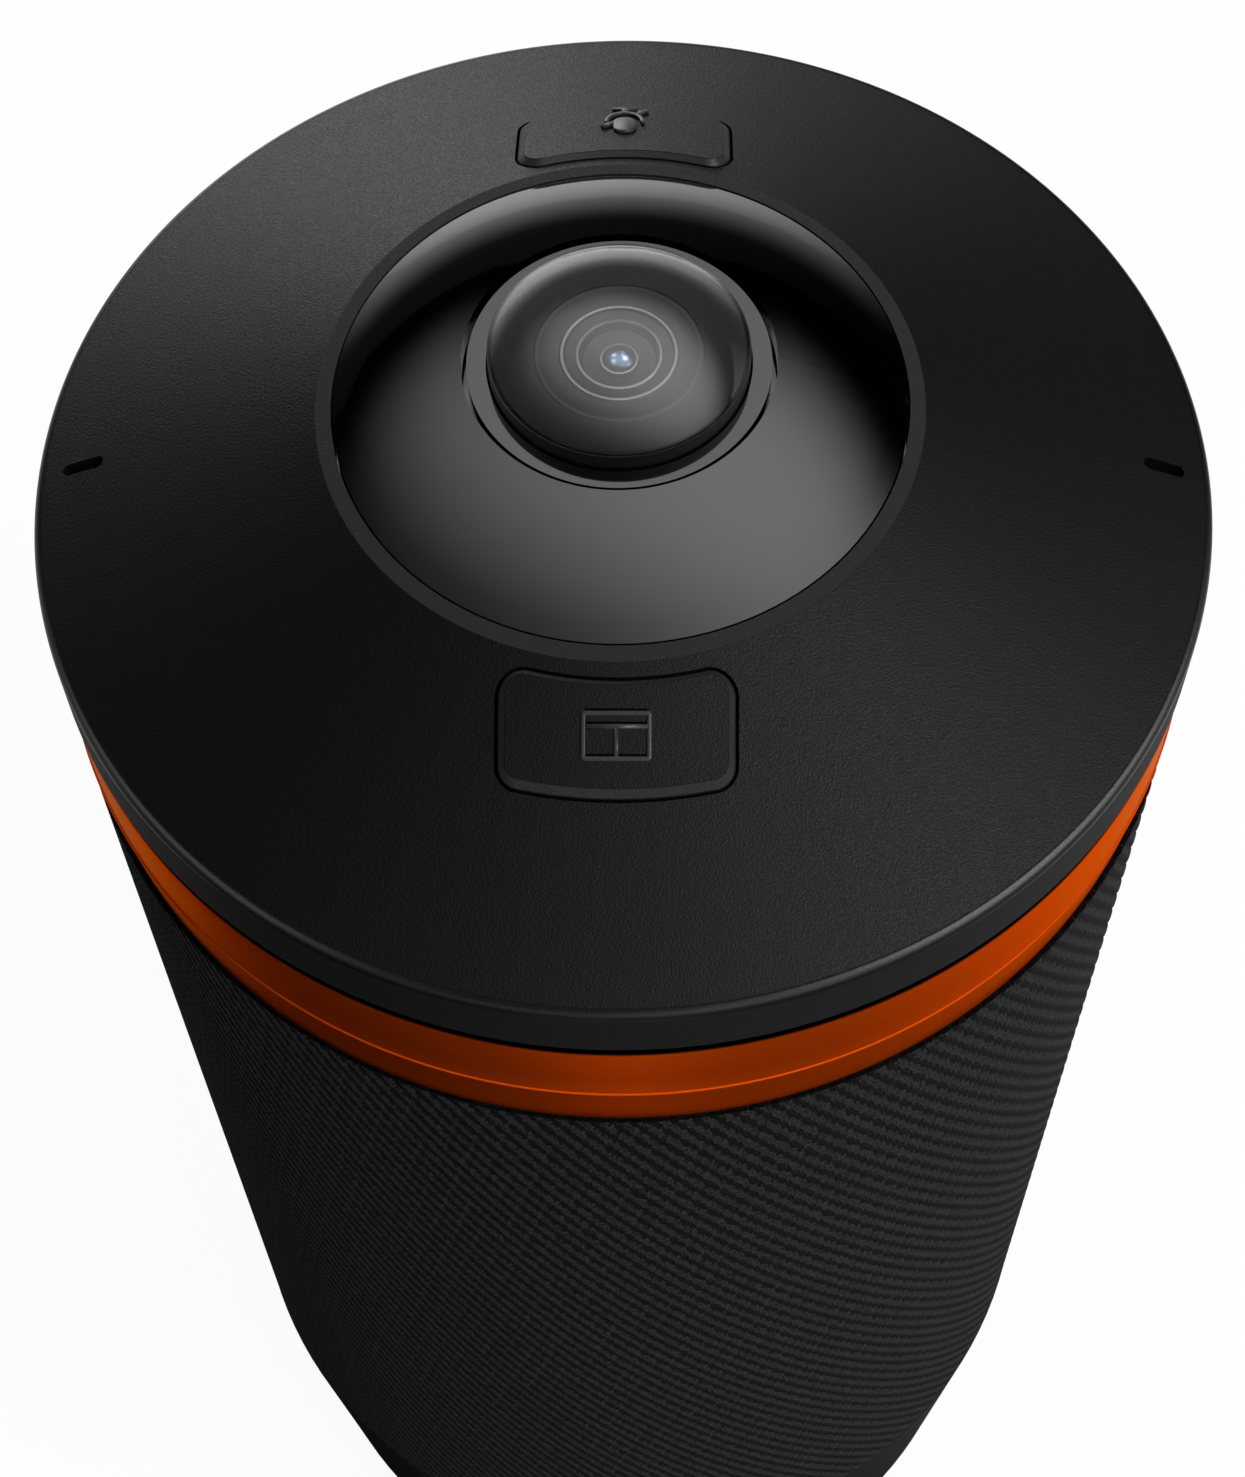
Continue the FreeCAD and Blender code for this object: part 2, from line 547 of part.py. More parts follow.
def raised(name, draw, low, high):
    """A body padded upwards between two levels from an outline that draw() makes."""
    body = DOC.addObject("PartDesign::Body", name)
    sketch = new_sketch(body, "XY_Plane", low)
    draw(sketch)
    pad = body.newObject("PartDesign::Pad", name + "_pad")
    pad.Profile = sketch
    pad.setExpression("Length", less(high, low))
    sketch.Visibility = False
    return body


def cylinder(name, radius, low, high, across="0", back="0"):
    thing = DOC.addObject("Part::Cylinder", name)
    thing.setExpression("Radius", radius)
    thing.setExpression("Height", less(high, low))
    thing.setExpression("Placement.Base.x", across)
    thing.setExpression("Placement.Base.y", back)
    thing.setExpression("Placement.Base.z", low)
    return thing


def block(name, width, depth, low, high, across="0", back="0"):
    """A box centred on a place, with its width along X and its depth along Y."""
    thing = DOC.addObject("Part::Box", name)
    thing.setExpression("Length", width)
    thing.setExpression("Width", depth)
    thing.setExpression("Height", less(high, low))
    thing.setExpression("Placement.Base.x", less(across, times(0.5, width)))
    thing.setExpression("Placement.Base.y", less(back, times(0.5, depth)))
    thing.setExpression("Placement.Base.z", low)
    return thing


def cone(name, low_radius, high_radius, low, high):
    thing = DOC.addObject("Part::Cone", name)
    thing.setExpression("Radius1", low_radius)
    thing.setExpression("Radius2", high_radius)
    thing.setExpression("Height", less(high, low))
    thing.setExpression("Placement.Base.z", low)
    return thing


def joined(name, pieces):
    thing = DOC.addObject("Part::MultiFuse", name)
    thing.Shapes = pieces
    return thing


def without(name, base, tool):
    thing = DOC.addObject("Part::Cut", name)
    thing.Base = base
    thing.Tool = tool
    return thing


def shared(name, first, second):
    thing = DOC.addObject("Part::MultiCommon", name)
    thing.Shapes = [first, second]
    return thing


def bevelled(name, base, width, tip):
    """Bevel the edges that lie on the cover's cone when its tip is raised to a level."""
    DOC.recompute()
    slope, peak, cut = value(CONE_SLOPE), value(tip), value(width)

    def on_cone(edge):
        points = [edge.valueAt(at) for at in (edge.FirstParameter, edge.LastParameter)]
        return all(abs(peak - slope * math.hypot(at.x, at.y) - at.z) < NEAR_CONE for at in points)
    thing = DOC.addObject("Part::Chamfer", name)
    thing.Base = base
    thing.Edges = [(index, cut, cut) for index, edge in enumerate(base.Shape.Edges, 1) if on_cone(edge)]
    return thing


def around(radius, counted, start="0"):
    """Places equally spaced on a circle, as pairs of expressions."""
    angles = [f"{start} + 360 / {size(counted)} * {index}" for index in range(count(counted))]
    return [(f"({radius}) * cos({angle})", f"({radius}) * sin({angle})") for angle in angles]


def pegs(name, radius, low, high, places):
    """One cylinder at each place, as a list."""
    return [cylinder(f"{name}_{index}", radius, low, high, *place) for index, place in enumerate(places, 1)]


def screws(name, places, head_low, up=True, small=False, length=None):
    """Pan-head screws at each place; up is the way that their points face."""
    if small:
        head, shank = size("small_screw_head"), size("small_screw_shank")
        height = size("small_screw_head_height")
    else:
        head, shank = size("screw_head"), size("screw_shank")
        height = size("screw_head_height")
    head_high = plus(head_low, height)
    length = length or size("screw_grip")
    pieces = []
    for index, place in enumerate(places, 1):
        top = cylinder(f"{name}_head_{index}", head, head_low, head_high, *place)
        if up:
            low, high = head_high, plus(head_high, length)
        else:
            low, high = less(head_low, length), head_low
        pieces += [top, cylinder(f"{name}_shank_{index}", shank, low, high, *place)]
    return part(name, joined(name, pieces))


BASE_SCREW_PLACES = around(FOOT_MIDDLE, "base_screw_count", size("screw_angle"))
LEG_PLACES = around(LEG_CIRCLE, "leg_count")
MAIN_SCREW_PLACES = around(MAIN_SCREW_CIRCLE, "main_screw_count")
POST_PLACES = around(POST_CIRCLE, "post_count")
COVER_SCREW_PLACES = around(COVER_SCREW_CIRCLE, "cover_screw_count", size("screw_angle"))
HOLDER_SCREW_PLACES = around(HOLDER_SCREW_CIRCLE, "holder_screw_count", size("screw_angle"))
PORT_PLACES = [times(side, size("port_spacing")) for side in (-0.5, 0.5)]
PORT_BOARD_MIDDLE = less(PAD_PLANE, size("fit_gap"), times(0.5, size("port_board_depth")))
PORT_SCREW_SIDE = less(times(0.5, size("port_board_width")), size("standoff_radius"), size("fit_gap"))
PORT_SCREW_PLACES = [(times(side, PORT_SCREW_SIDE), PORT_BOARD_MIDDLE) for side in (-1, 1)]


# Foot and bottom
def make_bottom():
    part("foot_ring", ring(
        "foot_ring", FOOT_INNER, FOOT_OUTER, "0", plus(PLATE_LOW, size("foot_seat"))))
    plate_radius = less(BASE_FOOT, size("base_wall"), size("fit_gap"))
    boss_radius = plus(size("insert_radius"), size("insert_wall"))
    insert_high = plus(PLATE_LOW, size("insert_length"))
    groove_outer = plus(FOOT_OUTER, size("fit_gap"))
    groove_inner = less(FOOT_INNER, size("fit_gap"))
    groove_top = plus(PLATE_LOW, size("foot_seat"))
    plate = turned("plate_turned", [
        (size("insert_radius"), PLATE_LOW), (groove_inner, PLATE_LOW), (groove_inner, groove_top),
        (groove_outer, groove_top), (groove_outer, PLATE_LOW), (plate_radius, PLATE_LOW),
        (plate_radius, PLATE_TOP), (boss_radius, PLATE_TOP),
        (boss_radius, plus(insert_high, size("insert_wall"))), ("0", plus(insert_high, size("insert_wall"))),
        ("0", insert_high), (size("insert_radius"), insert_high)])
    posts = pegs("plate_post", size("standoff_radius"), less(PLATE_TOP, size("weld")), PORT_BOARD_LOW,
                 PORT_SCREW_PLACES)
    head_seat = plus(groove_top, size("screw_head_height"))
    holes = pegs("plate_hole", CLEAR_HOLE, groove_top, PLATE_TOP, BASE_SCREW_PLACES)
    sinks = pegs("plate_sink", plus(size("screw_head"), size("fit_gap")), groove_top, head_seat,
                 BASE_SCREW_PLACES)
    post_holes = pegs("plate_pilot", size("small_screw_shank"), less(PORT_BOARD_LOW, size("small_pilot")),
                      PORT_BOARD_LOW, PORT_SCREW_PLACES)
    solid = joined("plate_solid", [plate] + posts)
    part("bottom_plate", without("bottom_plate", solid, joined("plate_holes", holes + sinks + post_holes)))
    part("tripod_insert", ring(
        "tripod_insert", size("insert_bore"), less(size("insert_radius"), size("insert_play")),
        PLATE_LOW, insert_high))
    part("ballast_plate", ring(
        "ballast_plate", plus(boss_radius, size("fit_gap")), less(FOOT_INNER, size("ballast_inset")),
        PLATE_TOP, BALLAST_TOP))
    screws("base_screws", BASE_SCREW_PLACES, groove_top)


# Base shell with its bosses, ports and centring ring
def make_base():
    slope = f"{size('base_taper')} / {size('base_height')}"
    inner_low = less(BASE_FOOT, size("base_wall"))
    inner_high = plus(inner_low, f"({slope}) * ({DECK_LOW} - {PLATE_LOW})")
    spigot_top = plus(DECK_TOP, size("spigot_height"))
    shell = turned("base_turned", [
        (inner_low, PLATE_LOW), (BASE_FOOT, PLATE_LOW), (BODY, DECK_TOP),
        (SPIGOT_RING_OUTER, DECK_TOP), (SPIGOT_RING_OUTER, spigot_top),
        (SPIGOT_RING_INNER, spigot_top), (SPIGOT_RING_INNER, DECK_TOP),
        (size("cable_hole"), DECK_TOP), (size("cable_hole"), DECK_LOW), (inner_high, DECK_LOW)])
    bosses = pegs("base_boss", size("base_boss"), PLATE_TOP, plus(DECK_LOW, size("weld")),
                  BASE_SCREW_PLACES)
    pad_width = plus(size("recess_width"), times(2, size("pad_margin")))
    pad_low = less(PORT_AXIS, times(0.5, size("recess_height")), size("pad_margin"))
    pad_high = plus(PORT_AXIS, times(0.5, size("recess_height")), size("pad_margin"))
    pad_depth = less(BODY, PAD_PLANE)
    pad_block = block("port_pad_block", pad_width, pad_depth, pad_low, pad_high,
                      back=plus(PAD_PLANE, times(0.5, pad_depth)))
    envelope = cone("base_envelope", less(BASE_FOOT, times(0.5, size("base_wall"))),
                    less(BODY, times(0.5, size("base_wall"))), PLATE_LOW, DECK_TOP)
    solid = joined("base_solid", [shell, shared("port_pad", pad_block, envelope)] + bosses)
    pilot = pegs("base_pilot", size("screw_shank"), PLATE_TOP, plus(PLATE_TOP, size("screw_grip")),
                 BASE_SCREW_PLACES)
    leg_holes = pegs("leg_hole", CLEAR_HOLE, DECK_LOW, DECK_TOP, LEG_PLACES)
    slots = [port_slot(index, across) for index, across in enumerate(PORT_PLACES, 1)]
    cuts = joined("base_cuts", pilot + leg_holes + slots + [port_recess()])
    part("base_shell", without("base_shell", solid, cuts))
    screws("enclosure_screws", LEG_PLACES, less(DECK_LOW, size("screw_head_height")),
           length=plus(size("deck_thickness"), size("screw_grip")))


def rear_pocket(name, width, height, corner, near, far, across="0"):
    """A rounded box that runs along Y between two distances behind the axis."""
    body = DOC.addObject("PartDesign::Body", name)
    sketch = new_sketch(body, "XZ_Plane", times(-1, near))
    left, right = less(across, times(0.5, width)), plus(across, times(0.5, width))
    low, high = less(PORT_AXIS, times(0.5, height)), plus(PORT_AXIS, times(0.5, height))
    outline(sketch, [(left, low, corner), (right, low, corner), (right, high, corner), (left, high, corner)])
    pad = body.newObject("PartDesign::Pad", name + "_pad")
    pad.Profile = sketch
    pad.setExpression("Length", less(far, near))
    pad.Reversed = True
    return body


def port_recess():
    return rear_pocket("port_recess", size("recess_width"), size("recess_height"), size("recess_corner"),
                       RECESS_PLANE, plus(BODY, size("cut_margin")))


def port_slot(index, across):
    width = plus(size("port_width"), size("fit_gap"))
    height = plus(size("port_thickness"), size("fit_gap"))
    corner = times(size("round_share"), height)
    return rear_pocket(f"port_slot_{index}", width, height, corner,
                       less(PAD_PLANE, size("cut_margin")),
                       plus(RECESS_PLANE, size("cut_margin")), across)


def make_ports():
    board_width, board_depth = size("port_board_width"), size("port_board_depth")
    board = block("port_board_blank", board_width, board_depth, PORT_BOARD_LOW, PORT_BOARD_TOP,
                  back=PORT_BOARD_MIDDLE)
    holes = pegs("port_board_hole", SMALL_CLEAR_HOLE, PORT_BOARD_LOW, PORT_BOARD_TOP, PORT_SCREW_PLACES)
    part("port_board", without("port_board", board, joined("port_board_holes", holes)))
    screws("port_board_screws", PORT_SCREW_PLACES, PORT_BOARD_TOP, up=False, small=True,
           length=plus(size("board_thickness"), size("small_screw_grip")))
    mouth = less(RECESS_PLANE, size("port_setback"))
    back = less(mouth, size("port_depth"))
    pieces = []
    corner = times(size("round_share"), size("port_thickness"))
    wall = size("port_wall")
    half_tongue = times(0.5, size("port_tongue"))
    tongue_width = less(size("port_width"), times(2, size("tongue_side")))
    tongue_back = plus(back, size("tongue_rear"))
    tongue_depth = less(mouth, size("tongue_front"), tongue_back)
    for index, across in enumerate(PORT_PLACES, 1):
        shell = rear_pocket(f"port_shell_{index}", size("port_width"), size("port_thickness"), corner,
                            back, mouth, across)
        hollow = rear_pocket(
            f"port_hollow_{index}", less(size("port_width"), times(2, wall)),
            less(size("port_thickness"), times(2, wall)), less(corner, wall),
            plus(back, size("weld")), plus(mouth, size("cut_margin")), across)
        can = without(f"port_can_{index}", shell, hollow)
        tongue = block(f"port_tongue_{index}", tongue_width, tongue_depth,
                       less(PORT_AXIS, half_tongue), plus(PORT_AXIS, half_tongue),
                       across, plus(tongue_back, times(0.5, tongue_depth)))
        pieces.append(joined(f"port_{index}", [can, tongue]))
    part("usb_c_receptacles", joined("usb_c_receptacles", pieces))


# Speaker, its enclosure and the diffuser under it
def make_speaker():
    diffuser_top = plus(DECK_TOP, size("diffuser_height"))
    part("sound_diffuser", turned("sound_diffuser", [
        (size("cable_hole"), DECK_TOP), (size("diffuser_radius"), DECK_TOP),
        (size("diffuser_radius"), plus(DECK_TOP, size("diffuser_edge"))),
        (size("cable_hole"), diffuser_top), (size("diffuser_bore"), diffuser_top),
        (size("diffuser_bore"), plus(DECK_TOP, size("diffuser_flare")))]))
    inner = ENCLOSURE_INNER
    seat_top = plus(SEAT_LOW, size("ledge_thickness"))
    roof = less(ENCLOSURE_TOP, size("enclosure_wall"))
    cup = turned("enclosure_cup", [
        (inner, BASKET_LOW), (ENCLOSURE_RADIUS, BASKET_LOW), (ENCLOSURE_RADIUS, ENCLOSURE_TOP),
        ("0", ENCLOSURE_TOP), ("0", roof), (inner, roof), (inner, seat_top), (LEDGE, seat_top),
        (LEDGE, SEAT_LOW), (inner, SEAT_LOW)])
    legs = pegs("enclosure_leg", size("leg_radius"), DECK_TOP, plus(BASKET_LOW, size("leg_overlap")),
                LEG_PLACES)
    rests = pegs("board_rest", size("standoff_radius"), less(ENCLOSURE_TOP, size("weld")), MAIN_BOARD_LOW,
                 MAIN_SCREW_PLACES)
    pilots = pegs("leg_pilot", size("screw_shank"), DECK_TOP, plus(DECK_TOP, size("screw_grip")), LEG_PLACES)
    rest_pilots = pegs("rest_pilot", size("small_screw_shank"), less(MAIN_BOARD_LOW, size("small_pilot")),
                       MAIN_BOARD_LOW, MAIN_SCREW_PLACES)
    holes = joined("enclosure_holes", pilots + rest_pilots)
    part("speaker_enclosure", without(
        "speaker_enclosure", joined("enclosure_solid", [cup] + legs + rests), holes))

    basket_outer = less(inner, size("fit_gap"))
    sheet = size("basket_sheet")
    neck = size("basket_neck")
    gap_radius = plus(size("pole_radius"), size("coil_gap"))
    part("speaker_basket", turned("speaker_basket", [
        (FLANGE_INNER, BASKET_LOW), (basket_outer, BASKET_LOW), (basket_outer, SEAT_LOW),
        (less(LEDGE, size("fit_gap")), SEAT_LOW), (neck, MAGNET_LOW),
        (gap_radius, MAGNET_LOW), (gap_radius, less(MAGNET_LOW, sheet)),
        (less(neck, sheet), less(MAGNET_LOW, sheet)), (FLANGE_INNER, SEAT_LOW)]))
    magnet_top = plus(MAGNET_LOW, size("magnet_height"))
    gap_top = less(magnet_top, size("magnet_back"))
    part("speaker_magnet", turned("speaker_magnet", [
        ("0", MAGNET_LOW), (size("pole_radius"), MAGNET_LOW), (size("pole_radius"), gap_top),
        (gap_radius, gap_top), (gap_radius, MAGNET_LOW),
        (size("magnet_radius"), MAGNET_LOW), (size("magnet_radius"), magnet_top), ("0", magnet_top)]))
    coil_outer = plus(COIL_INNER, size("coil_wall"))
    cone_top = plus(SEAT_LOW, size("cone_depth"))
    part("voice_coil", ring(
        "voice_coil", COIL_INNER, coil_outer, less(cone_top, size("coil_overlap")),
        plus(MAGNET_LOW, size("coil_depth"))))
    paper = size("cone_paper")
    cone_neck = plus(coil_outer, size("hair_gap"))
    part("speaker_cone", turned("speaker_cone", [
        (CONE_OUTER, SEAT_LOW), (CONE_OUTER, plus(SEAT_LOW, paper)),
        (cone_neck, plus(cone_top, paper)), (cone_neck, cone_top)]))
    roll = times(0.5, plus(CONE_OUTER, FLANGE_INNER))
    rubber = size("roll_rubber")
    crest = less(SEAT_LOW, size("roll_height"))
    crest_inner, crest_outer = less(roll, size("roll_flat")), plus(roll, size("roll_flat"))
    roll_inner = plus(CONE_OUTER, size("hair_gap"))
    roll_outer = less(FLANGE_INNER, size("hair_gap"))
    outer_top = less(SEAT_LOW, size("hair_gap"))
    part("speaker_surround", turned("speaker_surround", [
        (roll_inner, SEAT_LOW), (crest_inner, crest), (crest_outer, crest),
        (roll_outer, less(outer_top, rubber)), (roll_outer, outer_top), (crest_outer, plus(crest, rubber)),
        (crest_inner, plus(crest, rubber)), (roll_inner, plus(SEAT_LOW, rubber))]))
    cap_low = less(cone_top, size("cap_seat"))
    cap_high = plus(cap_low, size("cap_sheet"))
    cap_radius = less(COIL_INNER, size("hair_gap"))
    part("dust_cap", turned("dust_cap", [
        (cap_radius, cap_low), (cap_radius, cap_high), ("0", less(cap_high, size("cap_rise"))),
        ("0", less(cap_low, size("cap_rise")))], domes=(1, 3)))


# Main board with its processor and heat sink, and the posts to the upper frame
def make_main_board():
    blank = cylinder("main_board_blank", MAIN_BOARD, MAIN_BOARD_LOW, MAIN_BOARD_TOP)
    holes = pegs("main_board_hole", SMALL_CLEAR_HOLE, MAIN_BOARD_LOW, MAIN_BOARD_TOP, MAIN_SCREW_PLACES)
    part("main_board", without("main_board", blank, joined("main_board_holes", holes)))
    screws("main_board_screws", MAIN_SCREW_PLACES, MAIN_BOARD_TOP, up=False, small=True,
           length=plus(size("board_thickness"), size("small_screw_grip")))
    part("main_processor", block(
        "main_processor", size("chip_side"), size("chip_side"), MAIN_BOARD_TOP, CHIP_TOP))
    base_top = plus(CHIP_TOP, size("sink_base"))
    pieces = [block("sink_foot", size("sink_side"), size("sink_side"), CHIP_TOP, base_top)]
    fins = count("sink_fin_count")
    for index in range(fins):
        share = index / (fins - 1) - 0.5
        place = times(share, less(size("sink_side"), size("sink_fin")))
        pieces.append(block(f"sink_fin_{index + 1}", size("sink_fin"), size("sink_side"),
                            less(base_top, size("weld")), plus(CHIP_TOP, size("sink_height")), place))
    part("heat_sink", joined("heat_sink", pieces))
    posts = joined("frame_post_rods", pegs(
        "frame_post", size("post_radius"), ENCLOSURE_TOP, FRAME_DECK_LOW, POST_PLACES))
    threads = pegs("post_thread", size("screw_shank"), less(FRAME_DECK_LOW, size("screw_grip")),
                   FRAME_DECK_LOW, POST_PLACES)
    part("frame_posts", without("frame_posts", posts, joined("post_threads", threads)))
    screws("frame_post_screws", POST_PLACES, FRAME_DECK_TOP, up=False,
           length=plus(size("frame_deck"), size("screw_grip")))


# Grille tube with its slots, and the sleeve on it
def tube_slot(row, column):
    """One upright slot's cutter, from inside the tube's wall to outside it."""
    angle = 360 / count("slot_columns") * column
    middle = times(0.5, plus(DECK_TOP, RING_LOW))
    level = plus(middle, times(row - (count("slot_rows") - 1) / 2, size("slot_pitch")))
    near = less(TUBE_INNER, size("cut_margin"))
    reach = plus(size("tube_wall"), times(2, size("cut_margin")))
    slot = DOC.addObject("Part::Box", f"tube_slot_{row + 1}_{column + 1}")
    slot.setExpression("Length", reach)
    slot.setExpression("Width", size("slot_width"))
    slot.setExpression("Height", size("slot_length"))
    slot.Placement.Rotation = FreeCAD.Rotation(Vector(0, 0, 1), angle)
    side = times(0.5, size("slot_width"))
    slot.setExpression("Placement.Base.x", plus(f"{near} * cos({angle})", f"{side} * sin({angle})"))
    slot.setExpression("Placement.Base.y", less(f"{near} * sin({angle})", f"{side} * cos({angle})"))
    slot.setExpression("Placement.Base.z", less(level, times(0.5, size("slot_length"))))
    return slot


def make_fabric_body():
    tube = ring("tube_turned", TUBE_INNER, TUBE_RADIUS, DECK_TOP, RING_LOW)
    slots = DOC.addObject("Part::Compound", "tube_slots")
    slots.Links = [tube_slot(row, column)
                   for row in range(count("slot_rows")) for column in range(count("slot_columns"))]
    part("grille_tube", without("grille_tube", tube, slots))
    part("fabric_sleeve", ring(
        "fabric_sleeve", SLEEVE_INNER, SLEEVE_OUTER,
        plus(DECK_TOP, size("fabric_reveal")), less(RING_LOW, size("fabric_reveal"))))


# Orange ring and the frame inside it
def make_upper_frame():
    band = RING_RADIUS
    split = plus(RING_LOW, size("ring_lower"))
    lower = less(band, size("ring_ledge"))
    part("orange_ring", turned("orange_ring", [
        (RING_INNER, RING_LOW), (less(lower, size("ring_undercut")), RING_LOW), (lower, split),
        (band, plus(split, size("ring_ledge"))), (band, RING_TOP, size("ring_edge")),
        (RING_INNER, RING_TOP)]))
    spigot_top = plus(COVER_LOW, size("cover_spigot"))
    frame = turned("frame_turned", [
        ("0", FRAME_DECK_LOW), (COLLAR_INNER, FRAME_DECK_LOW), (COLLAR_INNER, FRAME_LOW),
        (COLLAR_RADIUS, FRAME_LOW), (COLLAR_RADIUS, RING_TOP), (SPIGOT_RADIUS, RING_TOP),
        (SPIGOT_RADIUS, spigot_top), (SPIGOT_INNER, spigot_top),
        (SPIGOT_INNER, COVER_LOW),
        (COLLAR_INNER, less(RING_TOP, size("collar_taper"))), (COLLAR_INNER, FRAME_DECK_TOP),
        ("0", FRAME_DECK_TOP)])
    boss_low = less(FRAME_DECK_TOP, size("weld"))
    bosses = pegs("frame_boss", size("cover_boss"), boss_low, TOP_BOARD_LOW, COVER_SCREW_PLACES)
    rests = pegs("sensor_rest", size("standoff_radius"), boss_low, SENSOR_BOARD_LOW, HOLDER_SCREW_PLACES)
    holes = pegs("frame_hole", CLEAR_HOLE, FRAME_DECK_LOW, TOP_BOARD_LOW, COVER_SCREW_PLACES)
    holes += pegs("frame_post_hole", CLEAR_HOLE, FRAME_DECK_LOW, FRAME_DECK_TOP, POST_PLACES)
    rest_holes = pegs("sensor_pilot", size("small_screw_shank"), less(SENSOR_BOARD_LOW, size("small_pilot")),
                      SENSOR_BOARD_LOW, HOLDER_SCREW_PLACES)
    passage = cylinder("cable_passage", size("cable_hole"), FRAME_DECK_LOW, FRAME_DECK_TOP,
                       back=size("passage_offset"))
    solid = joined("frame_solid", [frame] + bosses + rests)
    cuts = joined("frame_holes", holes + rest_holes + [passage])
    part("upper_frame", without("upper_frame", solid, cuts))
    head_low = less(FRAME_DECK_LOW, size("screw_head_height"))
    grip = less(cone_level(COVER_SCREW_CIRCLE), size("cover_wall"), FRAME_DECK_LOW)
    screws("cover_screws", COVER_SCREW_PLACES, head_low, length=grip)


def button_outline(sketch, side, margin):
    """Keystone outline of a button: two arcs about the axis and two parallel sides.

    side is -1 at the front and 1 at the rear, and margin widens the window's outline.
    """
    inner = less(WINDOW_INNER, margin)
    outer = plus(WINDOW_OUTER, margin)
    half = plus(size("window_side"), margin)
    corner = plus(size("window_corner"), margin)
    low, high, wide, bend = value(inner), value(outer), value(half), value(corner)
    near = Vector(wide - bend, side * math.sqrt((low + bend) ** 2 - (wide - bend) ** 2), 0)
    far = Vector(wide - bend, side * math.sqrt((high - bend) ** 2 - (wide - bend) ** 2), 0)
    near_touch = near * (low / (low + bend))
    far_touch = far * (high / (high - bend))
    mirror = lambda point: Vector(-point.x, point.y, 0)
    side_near, side_far = Vector(wide, near.y, 0), Vector(wide, far.y, 0)

    def arc(middle, radius, first, last):
        """Geometry of the short arc between two points, and the ends that are first and last."""
        angle = lambda point: math.atan2(point.y - middle.y, point.x - middle.x)
        start, end = angle(first), angle(last)
        turn = (end - start + math.pi) % (2 * math.pi) - math.pi
        circle = Part.Circle(middle, Vector(0, 0, 1), radius)
        if turn > 0:
            return sketch.addGeometry(Part.ArcOfCircle(circle, start, start + turn)), 1, 2
        return sketch.addGeometry(Part.ArcOfCircle(circle, end, end - turn)), 2, 1

    def line(first, last):
        return sketch.addGeometry(Part.LineSegment(first, last)), 1, 2

    centre = Vector(0, 0, 0)
    inner_arc = arc(centre, low, mirror(near_touch), near_touch)
    near_right = arc(near, bend, near_touch, side_near)
    right = line(side_near, side_far)
    far_right = arc(far, bend, side_far, far_touch)
    outer_arc = arc(centre, high, far_touch, mirror(far_touch))
    far_left = arc(mirror(far), bend, mirror(far_touch), mirror(side_far))
    left = line(mirror(side_far), mirror(side_near))
    near_left = arc(mirror(near), bend, mirror(side_near), mirror(near_touch))
    loop = [inner_arc, near_right, right, far_right, outer_arc, far_left, left, near_left]
    for before, after in zip(loop, loop[1:] + loop[:1]):
        sketch.addConstraint(Sketcher.Constraint("Tangent", before[0], before[2], after[0], after[1]))
    for edge, radius in ((inner_arc, inner), (outer_arc, outer)):
        sketch.addConstraint(Sketcher.Constraint("Coincident", edge[0], 3, -1, 1))
        dimension(sketch, "Radius", (edge[0],), radius)
    for edge in (near_right, far_right, far_left, near_left):
        dimension(sketch, "Radius", (edge[0],), corner)
    dimension(sketch, "DistanceX", (-1, 1, right[0], 1), half)
    dimension(sketch, "DistanceX", (left[0], 1, -1, 1), half)
    for edge in (left, right):
        sketch.addConstraint(Sketcher.Constraint("Vertical", edge[0]))


def under_cone(name, below):
    """A solid that fills everything under the cover's cone, lowered or raised by an expression."""
    reach = BODY
    return turned(name, [
        ("0", TOP_BOARD_LOW), (reach, TOP_BOARD_LOW), (reach, cone_level(reach, below)),
        ("0", cone_level("0", below))])


# Top cover with its windows, slots and bosses
def make_cover():
    radius = BODY
    wall = size("cover_wall")
    ledge = plus(RIM_RADIUS, size("lip_ledge"))
    shell = turned("cover_turned", [
        (COVER_INNER, COVER_LOW), (radius, COVER_LOW), (radius, COVER_EDGE, size("cover_edge")),
        (size("crown_radius"), CROWN), (RIM_RADIUS, RIM_TOP), (RIM_RADIUS, RIM_LOW),
        (ledge, RIM_LOW), (ledge, cone_level(ledge, wall)), (COVER_INNER, cone_level(COVER_INNER, wall))])
    posts = joined("cover_post_pegs", pegs(
        "cover_post", size("cover_boss"), TOP_BOARD_TOP, CROWN, COVER_SCREW_PLACES))
    bosses = shared("cover_posts", posts, under_cone("cover_half_wall", times(0.5, wall)))
    windows = [
        raised(f"button_window_{index}", lambda sketch, side=side: button_outline(sketch, side, "0"),
               COVER_LOW, ABOVE_COVER)
        for index, side in enumerate((-1, 1), 1)]
    slots = [microphone_slot(f"mic_slot_{index}", side, COVER_LOW, CROWN)
             for index, side in enumerate((-1, 1), 1)]
    holes = pegs("cover_pilot", size("screw_shank"), TOP_BOARD_TOP,
                 less(cone_level(COVER_SCREW_CIRCLE), wall), COVER_SCREW_PLACES)
    solid = joined("cover_solid", [shell, bosses])
    part("top_cover", without("top_cover", solid, joined("cover_cuts", windows + slots + holes)))


def microphone_slot(name, side, low, high):
    """A round-ended slot through the cover, along X."""
    middle = times(0.5 * side, plus(MIC_SLOT_INNER, MIC_SLOT_OUTER))
    half, width = times(0.5, size("mic_slot_length")), times(0.5, size("mic_slot_width"))

    def draw(sketch):
        corner = times(size("round_share"), size("mic_slot_width"))
        outline(sketch, [
            (less(middle, half), times(-1, width), corner), (plus(middle, half), times(-1, width), corner),
            (plus(middle, half), width, corner), (less(middle, half), width, corner)])
    return raised(name, draw, low, high)


